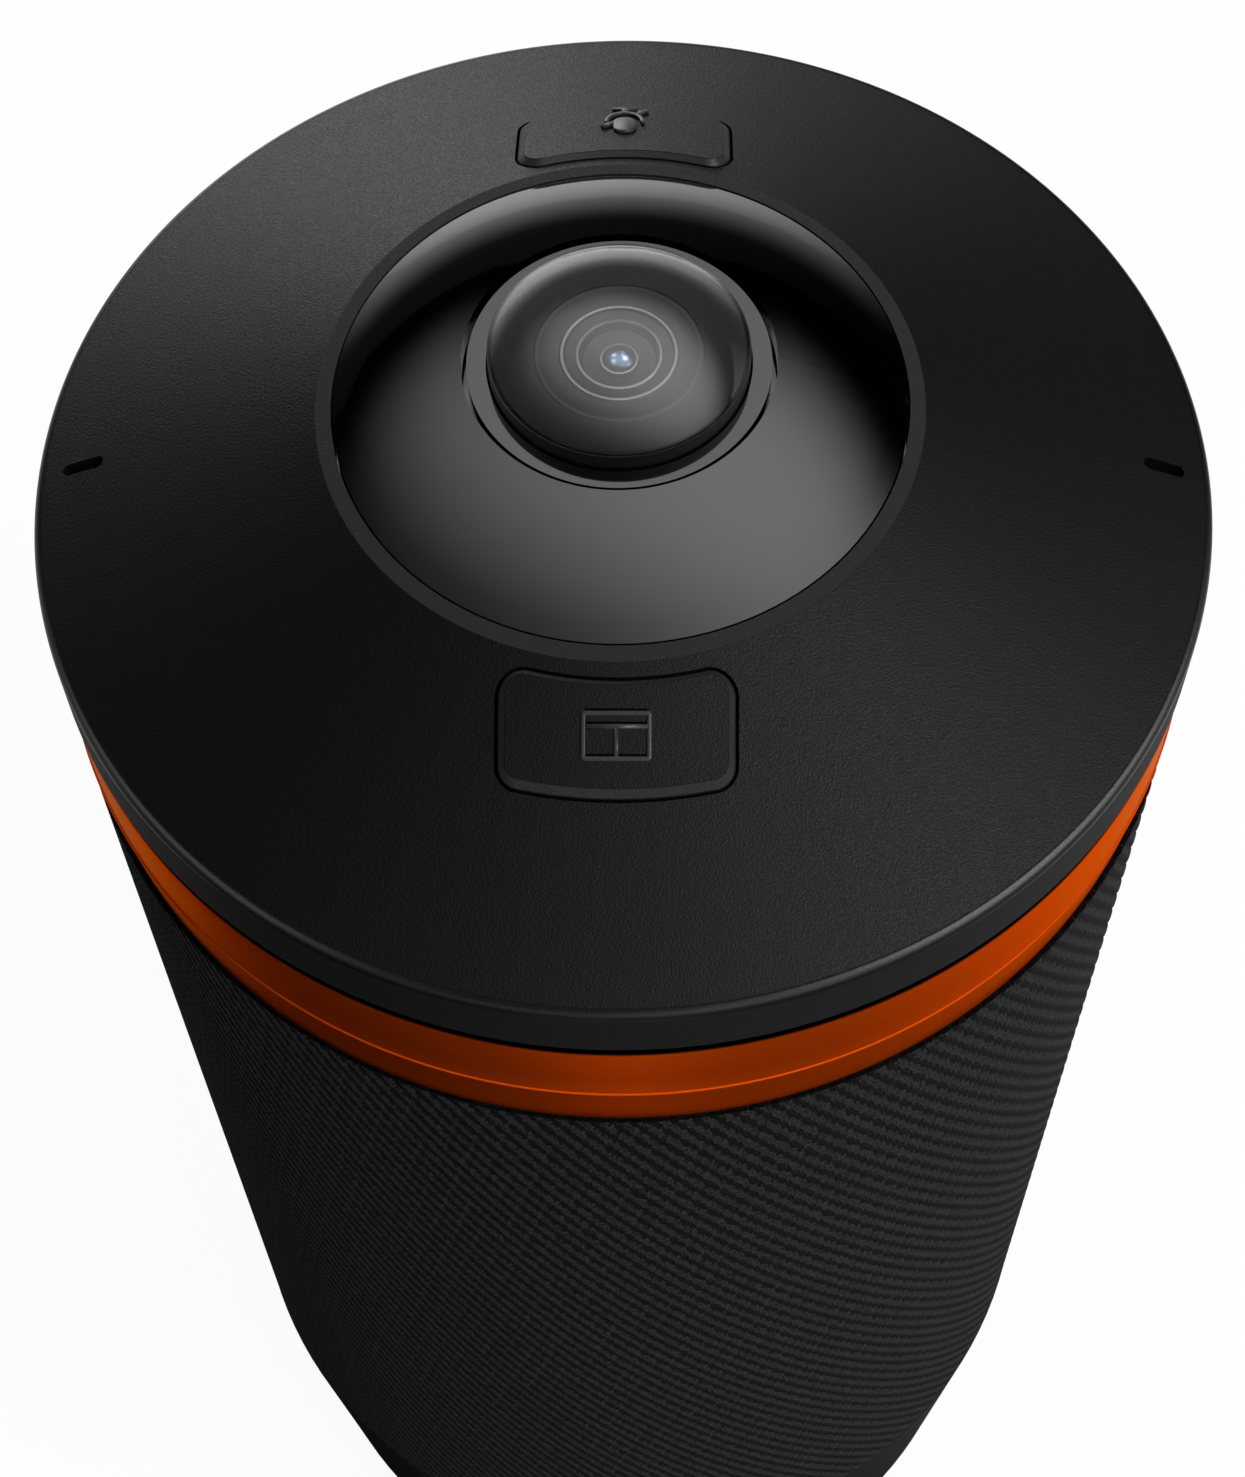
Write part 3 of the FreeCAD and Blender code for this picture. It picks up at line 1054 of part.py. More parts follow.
# Buttons with their stems and plungers
def make_button(node, plunger_node, side):
    back = times(side, BUTTON_MIDDLE)
    gap = size("button_gap")
    cap = raised(node + "_cap", lambda sketch: button_outline(sketch, side, times(-1, gap)),
                 COVER_LOW, ABOVE_COVER)
    flange = raised(node + "_flange", lambda sketch: button_outline(sketch, side, size("flange_margin")),
                    COVER_LOW, ABOVE_COVER)
    above = under_cone(node + "_top", times(-1, size("cap_proud")))
    flange_top = under_cone(node + "_flange_top", plus(size("cover_wall"), size("rest_gap")))
    under = under_cone(node + "_under", plus(size("cover_wall"), size("rest_gap"), size("flange_depth")))
    top = bevelled(node + "_cap_top", shared(node + "_cap_block", cap, above), size("cap_bevel"),
                   cone_level("0", times(-1, size("cap_proud"))))
    lip = shared(node + "_lip", flange, flange_top)
    stem = cylinder(node + "_stem", size("stem_radius"), PLUNGER_TOP,
                    less(cone_level(BUTTON_MIDDLE), times(0.5, size("cover_wall"))), back=back)
    cap_solid = without(node + "_plate", joined(node + "_plates", [top, lip]), under)
    part(node, joined(node, [cap_solid, stem]))
    plunger_low = less(SWITCH_TOP, size("plunger_depth"))
    part(plunger_node, cylinder(plunger_node, size("plunger_radius"), plunger_low, PLUNGER_TOP, back=back))


# Board under the cover with switches and microphones
def make_top_board():
    blank = ring("top_board_blank", size("top_board_inner"), TOP_BOARD_OUTER,
                 TOP_BOARD_LOW, TOP_BOARD_TOP)
    holes = pegs("top_board_hole", CLEAR_HOLE, TOP_BOARD_LOW, TOP_BOARD_TOP, COVER_SCREW_PLACES)
    part("top_board", without("top_board", blank, joined("top_board_holes", holes)))
    bodies = []
    for index, side in enumerate((-1, 1), 1):
        back = times(side, BUTTON_MIDDLE)
        body = block(f"switch_block_{index}", size("switch_side"), size("switch_side"),
                     TOP_BOARD_TOP, SWITCH_TOP, back=back)
        hole_low = less(SWITCH_TOP, size("plunger_depth"), size("button_travel"), size("fit_gap"))
        hole = cylinder(f"switch_bore_{index}", plus(size("plunger_radius"), size("fit_gap")),
                        hole_low, SWITCH_TOP, back=back)
        bodies.append(without(f"switch_{index}", body, hole))
    part("tactile_switches", joined("tactile_switches", bodies))
    mic_top = plus(TOP_BOARD_TOP, size("mic_height"))
    mics = []
    gaskets = []
    outer_end = plus(MIC_SLOT_OUTER, size("gasket_lap"))
    inner_end = less(MIC_CIRCLE, times(0.5, size("mic_length")))
    for index, side in enumerate((-1, 1), 1):
        mics.append(block(f"mic_{index}", size("mic_length"), size("mic_width"), TOP_BOARD_TOP, mic_top,
                          times(side, MIC_CIRCLE)))
        slab = block(f"gasket_slab_{index}", less(outer_end, inner_end), size("gasket_width"),
                     mic_top, CROWN, times(0.5 * side, plus(outer_end, inner_end)))
        wedge = shared(f"gasket_wedge_{index}", slab,
                       under_cone(f"gasket_top_{index}", plus(size("cover_wall"), size("hair_gap"))))
        channel = microphone_slot(f"gasket_channel_{index}", side, TOP_BOARD_TOP, CROWN)
        gaskets.append(without(f"gasket_{index}", wedge, channel))
    part("microphones", joined("microphones", mics))
    part("microphone_gaskets", joined("microphone_gaskets", gaskets))


# Glossy dome and the trim ring in its hole
def make_dome():
    rim = less(RIM_RADIUS, size("fit_gap"))
    shell = size("dome_shell")
    hole = DOME_HOLE
    flange_low = less(RIM_LOW, size("dome_flange_height"))
    flange = plus(RIM_RADIUS, size("dome_flange_width"))
    inner = less(rim, shell)
    part("dome_bezel", turned("dome_bezel", [
        (rim, RIM_TOP), (hole, DOME_TOP), (hole, less(DOME_TOP, shell)), (inner, less(RIM_TOP, shell)),
        (inner, flange_low), (flange, flange_low), (flange, RIM_LOW), (rim, RIM_LOW)], domes=(0, 2)))
    trim_flange = plus(TRIM_OUTER, size("trim_flange_width"))
    flange_base = less(TRIM_LOW, size("trim_flange_height"))
    part("lens_trim_ring", turned("lens_trim_ring", [
        (TRIM_INNER, flange_base), (trim_flange, flange_base), (trim_flange, TRIM_LOW),
        (TRIM_OUTER, TRIM_LOW), (TRIM_OUTER, TRIM_TOP), (TRIM_INNER, TRIM_TOP)]))


# Lens: barrel, four glass elements and rings
def make_lens():
    radius = size("barrel_radius")
    seat = less(radius, size("barrel_rim"))
    lip_radius = less(NECK_BORE, size("barrel_lip"))
    lip_top = plus(BARREL_LOW, size("barrel_lip_height"))
    part("lens_barrel", turned("lens_barrel", [
        (seat, GLASS_EDGE_TOP), (seat, GLASS_EDGE_LOW), (HEAD_BORE, GLASS_EDGE_LOW), (HEAD_BORE, SECOND_LOW),
        (NECK_BORE, SECOND_LOW), (NECK_BORE, lip_top), (lip_radius, lip_top), (lip_radius, BARREL_LOW),
        (size("barrel_neck"), BARREL_LOW), (size("barrel_neck"), BARREL_HEAD_LOW),
        (radius, BARREL_HEAD_LOW), (radius, GLASS_EDGE_TOP)]))
    glass = less(seat, size("hair_gap"))
    second_radius = less(HEAD_BORE, size("hair_gap"))
    mouth = less(second_radius, size("spacer_wall"))
    hollow = less(mouth, size("hollow_margin"))
    part("front_lens", turned("front_lens", [
        (hollow, GLASS_EDGE_LOW), (glass, GLASS_EDGE_LOW), (glass, GLASS_EDGE_TOP),
        ("0", GLASS_APEX), ("0", less(GLASS_APEX, size("glass_thickness")))], domes=(2, 4)))
    make_spacer(second_radius, mouth)
    dome_edge = less(size("spacer_throat"), size("fit_gap"))
    part("second_lens", turned("second_lens", [
        ("0", SECOND_LOW), (second_radius, SECOND_LOW), (second_radius, SPACER_LOW),
        (dome_edge, SPACER_LOW), ("0", plus(SPACER_LOW, size("second_rise")))], domes=(3,)))
    small = less(NECK_BORE, size("hair_gap"))
    stop_low = less(SECOND_LOW, size("stop_height"))
    stop_top = less(SECOND_LOW, size("hair_gap"))
    bevel_radius = plus(size("stop_opening"), size("stop_bevel"))
    part("aperture_ring", turned("aperture_ring", [
        (size("stop_opening"), less(SECOND_LOW, size("stop_edge"))), (bevel_radius, stop_low),
        (small, stop_low), (small, stop_top), (bevel_radius, stop_top)]))
    rear_top = less(stop_low, size("hair_gap"))
    rear_low = less(rear_top, size("rear_edge"))
    rest = less(small, size("rear_rest"))
    rear_dome = less(bevel_radius, size("hair_gap"))
    part("rear_lens", turned("rear_lens", [
        ("0", less(rear_low, size("rear_rise"))), (rest, rear_low), (small, rear_low), (small, rear_top),
        (rear_dome, rear_top), ("0", plus(rear_top, size("rear_rise")))], domes=(0, 4)))
    part("rear_lens_spacer", ring("rear_lens_spacer", rest, small, lip_top, rear_low))


def make_spacer(outer, mouth):
    """Ring between the two front elements, its throat turned in steps that show as rings."""
    steps = count("spacer_steps")
    throat = size("spacer_throat")
    top = less(GLASS_EDGE_LOW, size("hair_gap"))
    height = less(top, SPACER_LOW)
    points = [(outer, SPACER_LOW), (outer, top), (mouth, top)]
    for index in range(steps):
        share = index / steps
        next_share = (index + 1) / steps
        radius = less(mouth, times(share, less(mouth, throat)))
        level = plus(less(top, times(next_share, height)), size("spacer_land"))
        next_radius = less(mouth, times(next_share, less(mouth, throat)))
        points += [(less(radius, size("spacer_draft")), level), (next_radius, level)]
    points.append((throat, SPACER_LOW))
    part("lens_spacer", turned("lens_spacer", points))


# Sensor board, sensor, filter and lens holder
def make_sensor():
    blank = cylinder("sensor_board_blank", SENSOR_BOARD, SENSOR_BOARD_LOW,
                     SENSOR_BOARD_TOP)
    holes = pegs("sensor_board_hole", SMALL_CLEAR_HOLE, SENSOR_BOARD_LOW, SENSOR_BOARD_TOP,
                 HOLDER_SCREW_PLACES)
    part("sensor_board", without("sensor_board", blank, joined("sensor_board_holes", holes)))
    part("image_sensor", block(
        "image_sensor", size("sensor_side"), size("sensor_side"), SENSOR_BOARD_TOP, SENSOR_TOP))
    filter_top = plus(FILTER_LOW, size("filter_thickness"))
    part("ir_cut_filter", block(
        "ir_cut_filter", size("filter_side"), size("filter_side"), FILTER_LOW, filter_top))
    flange_top = plus(SENSOR_BOARD_TOP, size("holder_flange_height"))
    holder = turned("holder_turned", [
        (HOLDER_BORE, SENSOR_BOARD_TOP), (HOLDER_FLANGE, SENSOR_BOARD_TOP),
        (HOLDER_FLANGE, flange_top), (HOLDER_RADIUS, flange_top),
        (HOLDER_RADIUS, HOLDER_TOP), (HOLDER_BORE, HOLDER_TOP)])
    window_side = plus(size("filter_side"), times(2, size("hair_gap")))
    window = block("filter_seat", window_side, window_side, FILTER_LOW, filter_top)
    web_disc = cylinder("filter_web_disc", plus(HOLDER_BORE, size("weld")), FILTER_LOW, filter_top)
    web = without("filter_web", web_disc, window)
    holes = pegs("holder_hole", SMALL_CLEAR_HOLE, SENSOR_BOARD_TOP, flange_top, HOLDER_SCREW_PLACES)
    solid = joined("holder_solid", [holder, web])
    part("lens_holder", without("lens_holder", solid, joined("holder_holes", holes)))
    screws("holder_screws", HOLDER_SCREW_PLACES, flange_top, up=False, small=True,
           length=plus(size("holder_flange_height"), size("board_thickness"), size("small_screw_grip")))


make_bottom()
make_base()
make_ports()
make_speaker()
make_main_board()
make_fabric_body()
make_upper_frame()
make_cover()
make_top_board()
make_button("layout_button", "layout_plunger", -1)
make_button("mute_button", "mute_plunger", 1)
make_dome()
make_lens()
make_sensor()
DOC.recompute()

failed = [item.Label for item in DOC.Objects if {"Invalid", "Error"} & set(item.State)]
if failed:
    raise SystemExit("Objects that did not compute: " + ", ".join(failed))
for item in PARTS:
    if item.Shape.isNull() or not item.Shape.isValid() or not item.Shape.Solids:
        raise SystemExit("Bad shape: " + item.Label)

os.makedirs("parts", exist_ok=True)
for item in PARTS:
    item.Shape.exportStep(f"parts/{item.Label}.step")
    print(item.Label, len(item.Shape.Solids), round(item.Shape.Volume, 1))
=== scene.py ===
"""Tower webcam: fabric sleeve, key symbols, studio and the finish of every part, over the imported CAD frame."""

import json
import math
from functools import partial

import bmesh
import bpy
import numpy as np
from bpy.props import FloatProperty, FloatVectorProperty, IntProperty, PointerProperty
from mathutils import Matrix, Vector

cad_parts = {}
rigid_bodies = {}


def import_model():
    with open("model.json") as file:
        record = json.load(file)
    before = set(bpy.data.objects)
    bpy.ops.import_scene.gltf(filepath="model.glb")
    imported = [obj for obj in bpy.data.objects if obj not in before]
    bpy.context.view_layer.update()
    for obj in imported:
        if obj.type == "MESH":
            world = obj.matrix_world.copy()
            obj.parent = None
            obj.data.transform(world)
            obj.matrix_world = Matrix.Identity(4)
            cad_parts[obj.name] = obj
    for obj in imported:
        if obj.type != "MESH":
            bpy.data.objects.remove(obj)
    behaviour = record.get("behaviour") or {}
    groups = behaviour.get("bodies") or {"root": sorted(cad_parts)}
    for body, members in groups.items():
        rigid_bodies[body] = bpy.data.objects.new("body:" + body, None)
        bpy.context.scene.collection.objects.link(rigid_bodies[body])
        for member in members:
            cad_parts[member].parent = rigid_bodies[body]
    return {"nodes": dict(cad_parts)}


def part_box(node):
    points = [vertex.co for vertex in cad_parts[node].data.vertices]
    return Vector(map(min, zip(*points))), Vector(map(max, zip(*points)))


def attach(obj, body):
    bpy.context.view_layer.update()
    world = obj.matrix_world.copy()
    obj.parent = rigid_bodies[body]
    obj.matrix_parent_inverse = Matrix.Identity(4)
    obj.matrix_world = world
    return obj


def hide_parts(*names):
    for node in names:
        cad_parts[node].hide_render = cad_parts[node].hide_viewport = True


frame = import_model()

bl_info = {
    "name": "Tower Webcam",
    "version": (1, 0, 0),
    "blender": (4, 5, 0),
    "location": "View3D > Sidebar > Webcam",
    "description": "Dresses the packed tower webcam with its cloth, key symbols, finishes and studio",
    "category": "Object",
}

MM = 0.001                    # one millimetre in Blender's metres
PER_METRE = 1000.0            # millimetres in a metre: a pattern's scale is its count in a millimetre times this
ROUND = 2.0 * math.pi         # one turn
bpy.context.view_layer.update()         # the CAD model's box, before any piece is added
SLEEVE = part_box("fabric_sleeve")      # lowest and highest corner of the CAD sleeve
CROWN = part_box("dome_bezel")[1].z     # height of the dome's top
KNIT = 44.85 * MM             # radius of the cloth in the grooves between its ribs
CONE_RIM, CONE_TOP = 22.5, 189.2      # in millimetres, the radius and the height where the cover's cone starts
CONE_FALL = 10.2 / 22.5       # how far the cone falls per millimetre outwards
KEY_RISE = 0.55               # how far the keys' tops lie over the cone, in millimetres
NOISE = (0.3, 0.7)            # most values of a noise lie in this span
FULL = (0.0, 1.0)             # from none to all
WAVE = 314.0                  # scale of a wave texture that repeats every millimetre
REAR_LEFT = (-0.53, 0.85, 0.0)        # where the horizon and the floor are brightest
REAR_GLOW = (0.3, 1.0, 0.1, 0.85)     # cosine to the rear left from 0.3 to 1 gives a share from 0.1 to 0.85
# the polished pieces, which mirror the softbox
GLOSS = {"dome_bezel", "lens_trim_ring", "lens_barrel", "front_glass", "lens_core", "second_lens", "rear_lens",
         "lens_spacer", "aperture_ring", "rear_lens_spacer", "ir_cut_filter", "image_sensor"}


def srgb(text):
    """Linear red, green and blue of a #rrggbb colour: c / 12.92 up to 0.04045, else ((c + 0.055) / 1.055) ** 2.4."""
    channels = [int(text[i:i + 2], 16) / 255.0 for i in (1, 3, 5)]
    return tuple(c / 12.92 if c <= 0.04045 else ((c + 0.055) / 1.055) ** 2.4 for c in channels)


# ---------------------------------------------------------------- settings

def length_in_mm(name, description, millimetres):
    """Setting for a length."""
    return FloatProperty(name=name, description=description, default=millimetres * MM, unit="LENGTH", precision=5)


def hex_colour(name, description, text):
    """Setting for a colour, from #rrggbb text."""
    return FloatVectorProperty(name=name, description=description, default=srgb(text), subtype="COLOR", min=0, max=1)


def light_level(name, description, value):
    """Setting for a light's level."""
    return FloatProperty(name=name, description=description, default=value, min=0.0)


class WEBCAM_PG_sleeve(bpy.types.PropertyGroup):
    """Cloth sleeve round the tower."""
    ribs: IntProperty(name="Ribs", description="Twisted ribs round the tower", default=184, min=24, max=400)
    lean: FloatProperty(name="Lean", description="How far the ribs drop below the horizontal",
                        default=math.radians(62.15), subtype="ANGLE")
    height: length_in_mm("Rib height", "How far a rib stands out of its grooves", 0.12)
    stitch: length_in_mm("Stitch", "Length of one stitch along a rib", 2.91)
    colour: hex_colour("Yarn", "Colour of the yarn", "#353636")
    # painted shade: the near-black colour stands in for the shade between the ribs and in the stitch holes
    shade: hex_colour("Yarn in the grooves", "Painted shade of the yarn in the grooves", "#010101")


class WEBCAM_PG_symbols(bpy.types.PropertyGroup):
    """Raised symbols on the two keys."""
    line: length_in_mm("Line", "Width of a symbol's lines", 0.30)
    rise: length_in_mm("Rise", "How far a symbol stands off its key", 0.16)
    width: length_in_mm("Layout width", "Width of the layout symbol", 4.9)
    depth: length_in_mm("Layout depth", "Depth of the layout symbol", 3.2)
    middle: length_in_mm("Middle", "Distance of the layout symbol from the tower's axis", 27.45)
    # painted highlight: the symbols are the keys' plastic, drawn paler for the light their raised tops catch
    colour: hex_colour("Symbol", "Colour of the symbols", "#353736")


class WEBCAM_PG_finishes(bpy.types.PropertyGroup):
    """Colours of the outer finishes."""
    cover: hex_colour("Cover", "Textured cover plastic", "#080909")
    dome: hex_colour("Dome", "Polished dome", "#080808")
    ring: hex_colour("Ring", "Orange ring", "#f85c10")
    base: hex_colour("Base", "Base plastic", "#1b1c1c")


class WEBCAM_PG_studio(bpy.types.PropertyGroup):
    """Floor, light and camera."""
    floor: hex_colour("Floor", "Floor colour", "#808080")
    key: light_level("Key light", "Level of the light from the right", 0.82)
    top: light_level("Top light", "Level of the light from above", 0.4)
    rear: light_level("Rear light", "Level of the low light from the rear left", 0.38)
    strip: light_level("Strip lights", "Level of the low lights along the cover's edge", 0.9)
    softbox: light_level("Softbox", "Brightness of the cloth that the gloss mirrors", 1.85)
    lens: FloatProperty(name="Focal length", description="Camera's focal length in millimetres", default=69.95)


# ---------------------------------------------------------------- meshes

def grid_mesh(name, points, around=False, along=False, uv=None):
    """Mesh of a grid of points, rows by columns by 3: every face joins four neighbours, anticlockwise from outside.

    around joins the last column to the first, and along joins the last row to the first. uv has one more column
    where around is set and one more row where along is set, so that a seam keeps its own values.
    """
    rows, columns = points.shape[:2]
    row = np.arange(rows if along else rows - 1)[:, None]
    column = np.arange(columns if around else columns - 1)[None, :]
    corners = ((row, column), (row, column + 1), (row + 1, column + 1), (row + 1, column))
    faces = np.stack([(r % rows) * columns + c % columns for r, c in corners], axis=-1).reshape(-1)
    mesh = bpy.data.meshes.new(name)
    mesh.vertices.add(rows * columns)
    mesh.vertices.foreach_set("co", points.reshape(-1).astype(np.float32))
    mesh.loops.add(faces.size)
    mesh.loops.foreach_set("vertex_index", faces.astype(np.int32))
    mesh.polygons.add(faces.size // 4)
    mesh.polygons.foreach_set("loop_start", np.arange(0, faces.size, 4, dtype=np.int32))
    if uv is not None:
        layer = mesh.uv_layers.new(name="surface")
        values = np.stack([uv[r, c] for r, c in (np.broadcast_arrays(*pair) for pair in corners)], axis=-2)
        layer.data.foreach_set("uv", values.reshape(-1).astype(np.float32))
    mesh.update(calc_edges=True)
    mesh.validate()
    return mesh


def piece(name, mesh, body, material, crisp=None):
    """Adds a mesh to the scene as a piece that rides on a body and takes the given material as its finish.

    It is smooth, but for edges sharper than crisp, in degrees, where that is given.
    """
    mesh.materials.append(material)
    mesh.polygons.foreach_set("use_smooth", np.full(len(mesh.polygons), True))
    if crisp:
        mesh.set_sharp_from_angle(angle=math.radians(crisp))
    obj = bpy.data.objects.new(name, mesh)
    bpy.context.scene.collection.objects.link(obj)
    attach(obj, body)
    return obj


def turned(profile, segments):
    """Surface of revolution: the point (r, z) of the profile goes to (r cos a, r sin a, z) at each angle a."""
    angle = np.linspace(0.0, ROUND, segments, endpoint=False)[None, :]
    radius, level = np.asarray(profile, dtype=float).T[:, :, None]
    return np.stack(np.broadcast_arrays(radius * np.cos(angle), radius * np.sin(angle), level), axis=-1)


def turned_solid(name, profile, segments=320):
    """Closed turned solid: the profile runs up the outside and down the inside, in millimetres."""
    points = turned(np.asarray(profile, dtype=float) * MM, segments)
    return joined(name, [grid_mesh(name, points, around=True, along=True)])


def raised_line(path, width, rise, closed=False):
    """Bead carried along a flat path on a key's top, with flat top and rounded shoulders.

    At each path point the profile (s, h) is set across the path: s along the flat normal of the path, stretched at
    a corner by one over the cosine of half its turn, and h above the key's top. An open path's ends are drawn
    together to a point, so the bead is closed.
    """
    path = np.asarray(path, dtype=float)
    if closed:
        before, after = path - np.roll(path, 1, axis=0), np.roll(path, -1, axis=0) - path
    else:
        step = np.diff(path, axis=0)
        before, after = np.vstack([step[:1], step]), np.vstack([step, step[-1:]])
    before /= np.linalg.norm(before, axis=1, keepdims=True)
    after /= np.linalg.norm(after, axis=1, keepdims=True)
    along = before + after
    along /= np.linalg.norm(along, axis=1, keepdims=True)
    across = np.stack([-along[:, 1], along[:, 0]], axis=1)
    across /= np.sum(along * after, axis=1, keepdims=True)
    side = np.array([0.5, 0.5, 0.46, 0.36, -0.36, -0.46, -0.5, -0.5]) * width
    height = np.array([-0.6, 0.6, 0.85, 1.0, 1.0, 0.85, 0.6, -0.6]) * rise
    flat = path[:, None, :] + across[:, None, :] * side[None, :, None]
    height = np.broadcast_to(height, flat.shape[:2])
    if not closed:
        first, last = (np.repeat(end[:, None], side.size, axis=1) for end in (path[:1], path[-1:]))
        flat = np.concatenate([first, flat, last])
        height = np.pad(height, ((1, 1), (0, 0)))
    return flat, height


def filled_shape(outline, rise):
    """Raised pad: the outline drawn towards its middle in rings, low at the rim and flat inside, closed below."""
    middle = outline.mean(axis=0)
    share = np.array([0.0, 1.0, 1.0, 0.94, 0.86, 0.0])[:, None, None]
    lift = np.array([-0.6, -0.6, 0.6, 0.9, 1.0, 1.0]) * rise
    flat = middle + (outline - middle)[None] * share
    return flat, np.broadcast_to(lift[:, None], flat.shape[:2])


def on_cap(flat, height):
    """Lays flat points (x, y) and heights on a key's top: z = top + rise - fall * (r - rim) + height, over the cone."""
    radius = np.hypot(flat[..., 0], flat[..., 1])
    level = (CONE_TOP + KEY_RISE) * MM - (radius - CONE_RIM * MM) * CONE_FALL + height
    return np.concatenate([flat, level[..., None]], axis=-1)


def joined(name, meshes):
    """One mesh of several, with doubles merged so that ends and poles are closed, and faces turned outwards."""
    build = bmesh.new()
    for mesh in meshes:
        build.from_mesh(mesh)
        bpy.data.meshes.remove(mesh)
    bmesh.ops.remove_doubles(build, verts=build.verts, dist=1e-7)
    bmesh.ops.delete(build, geom=[edge for edge in build.edges if not edge.link_faces], context="EDGES")
    bmesh.ops.recalc_face_normals(build, faces=build.faces)
    mesh = bpy.data.meshes.new(name)
    build.to_mesh(mesh)
    build.free()
    return mesh


# ---------------------------------------------------------------- materials

def add_node(tree, kind, *values, **named):
    """Adds a node with its settings and links.

    The kind may end in a dot and the node's operation, or a mix's data type. Values go to the node's live inputs in
    order. A name in small letters is a setting of the node, and one with a capital an input, with _ for a space.
    A node given as a value stands for its first live output. A colour is #rrggbb text or linear red, green and blue.
    """
    kind, _, choice = kind.partition(".")
    node = tree.nodes.new("ShaderNode" + kind)
    if choice:
        setattr(node, "data_type" if kind == "Mix" else "operation", choice)
    for name in filter(str.islower, named):
        setattr(node, name, named[name])
    live = [socket for socket in node.inputs if socket.enabled]
    inputs = {socket.name.replace(" ", "_"): socket for socket in live}
    chosen = [(inputs[name], value) for name, value in named.items() if not name.islower()]
    for socket, value in (*zip(live, values), *chosen):
        if isinstance(value, bpy.types.Node):
            value = next(output for output in value.outputs if output.enabled)
        if isinstance(value, bpy.types.NodeSocket):
            tree.links.new(value, socket)
        elif socket.type == "RGBA":
            socket.default_value = (*(srgb(value) if isinstance(value, str) else value), 1.0)
        else:
            socket.default_value = value
    return node


def shaded(colour, share):
    """Share of a linear colour."""
    return tuple(share * channel for channel in colour)


def new_material(name):
    """Material, the function that adds nodes to its empty tree, and the place on the piece in Object coordinates."""
    material = bpy.data.materials.new(name)
    material.use_nodes = True
    material.node_tree.nodes.clear()
    add = partial(add_node, material.node_tree)
    return material, add, add("TexCoord").outputs["Object"]


def moulded(name, low, high, grain, depth, rough, **surface):
    """Moulded plastic or rubber: grain is the size of its texture and depth its relief, in millimetres.

    Object coordinates drive a fine noise for the grain and a broad one, sixty grains wide, for the slight
    unevenness that a moulding shows. Both colour the surface between low and high, and the broad one varies its
    roughness a little.
    """
    material, add, place = new_material(name)
    fine = add("TexNoise", place, Scale=PER_METRE / grain, Detail=2.0)
    broad = add("TexNoise", place, Scale=PER_METRE / (grain * 60.0), Detail=3.0, Roughness=0.7)
    tone = add("MapRange", add("Mix", 0.25, fine, broad), *NOISE, *FULL)
    add("OutputMaterial", add(
        "BsdfPrincipled", Base_Color=add("Mix.RGBA", tone, low, high),
        Roughness=add("MapRange", broad, *NOISE, rough - 0.02, rough + 0.02),
        Normal=add("Bump", Height=fine, Distance=depth * MM), **surface))
    return material


def machined(name, low, high, pitch, rough, **strokes):
    """Metal with tool marks at a pitch in millimetres: rings round the tower's axis, or another type of wave."""
    material, add, place = new_material(name)
    strokes = strokes or {"wave_type": "RINGS", "rings_direction": "Z"}
    marks = add("TexWave", place, Scale=WAVE / pitch, Distortion=1.5, Detail=2.0, Detail_Scale=0.3,
                **strokes).outputs["Fac"]
    cloud = add("TexNoise", place, Scale=0.18 * PER_METRE, Detail=4.0)
    add("OutputMaterial", add(
        "BsdfPrincipled", Metallic=1.0, Base_Color=add("Mix.RGBA", cloud, low, high),
        Roughness=add("MapRange", marks, *FULL, rough - 0.06, rough + 0.08),
        Normal=add("Bump", Height=marks, Distance=0.004 * MM, Strength=0.5)))
    return material


def clear_glass(name, tint, ior, dust):
    """Clear glass: full transmission, with a faint cloud of wiping marks in its roughness, dust at most."""
    material, add, place = new_material(name)
    cloud = add("TexNoise", place, Scale=0.26 * PER_METRE, Detail=5.0, Distortion=0.6)
    add("OutputMaterial", add(
        "BsdfPrincipled", Base_Color=tint, IOR=ior, Transmission_Weight=1.0,
        Roughness=add("MapRange", cloud, 0.45, 0.75, 0.0, dust)))
    return material


def distance_from_axis(add, place):
    """Distance of a place from the tower's axis, in millimetres."""
    flat = add("VectorMath.MULTIPLY", place, (PER_METRE, PER_METRE, 0.0))
    return add("VectorMath.LENGTH", flat)


def sine_wave(add, across, along, ribs, stitches):
    """Wave 0.5 + 0.5 sin(2 pi (ribs * across - stitches * along)) over the rib count and the stitch count."""
    phase = add("Math.MULTIPLY", across, ROUND * ribs)
    phase = add("Math.MULTIPLY_ADD", along, -ROUND * stitches, phase)
    return add("Math.MULTIPLY_ADD", add("Math.SINE", phase), 0.5, 0.5)


def rib_pitch(settings):
    """Distance from rib to rib, square to the ribs, in millimetres."""
    return ROUND * KNIT / MM / settings.ribs * math.sin(settings.lean)


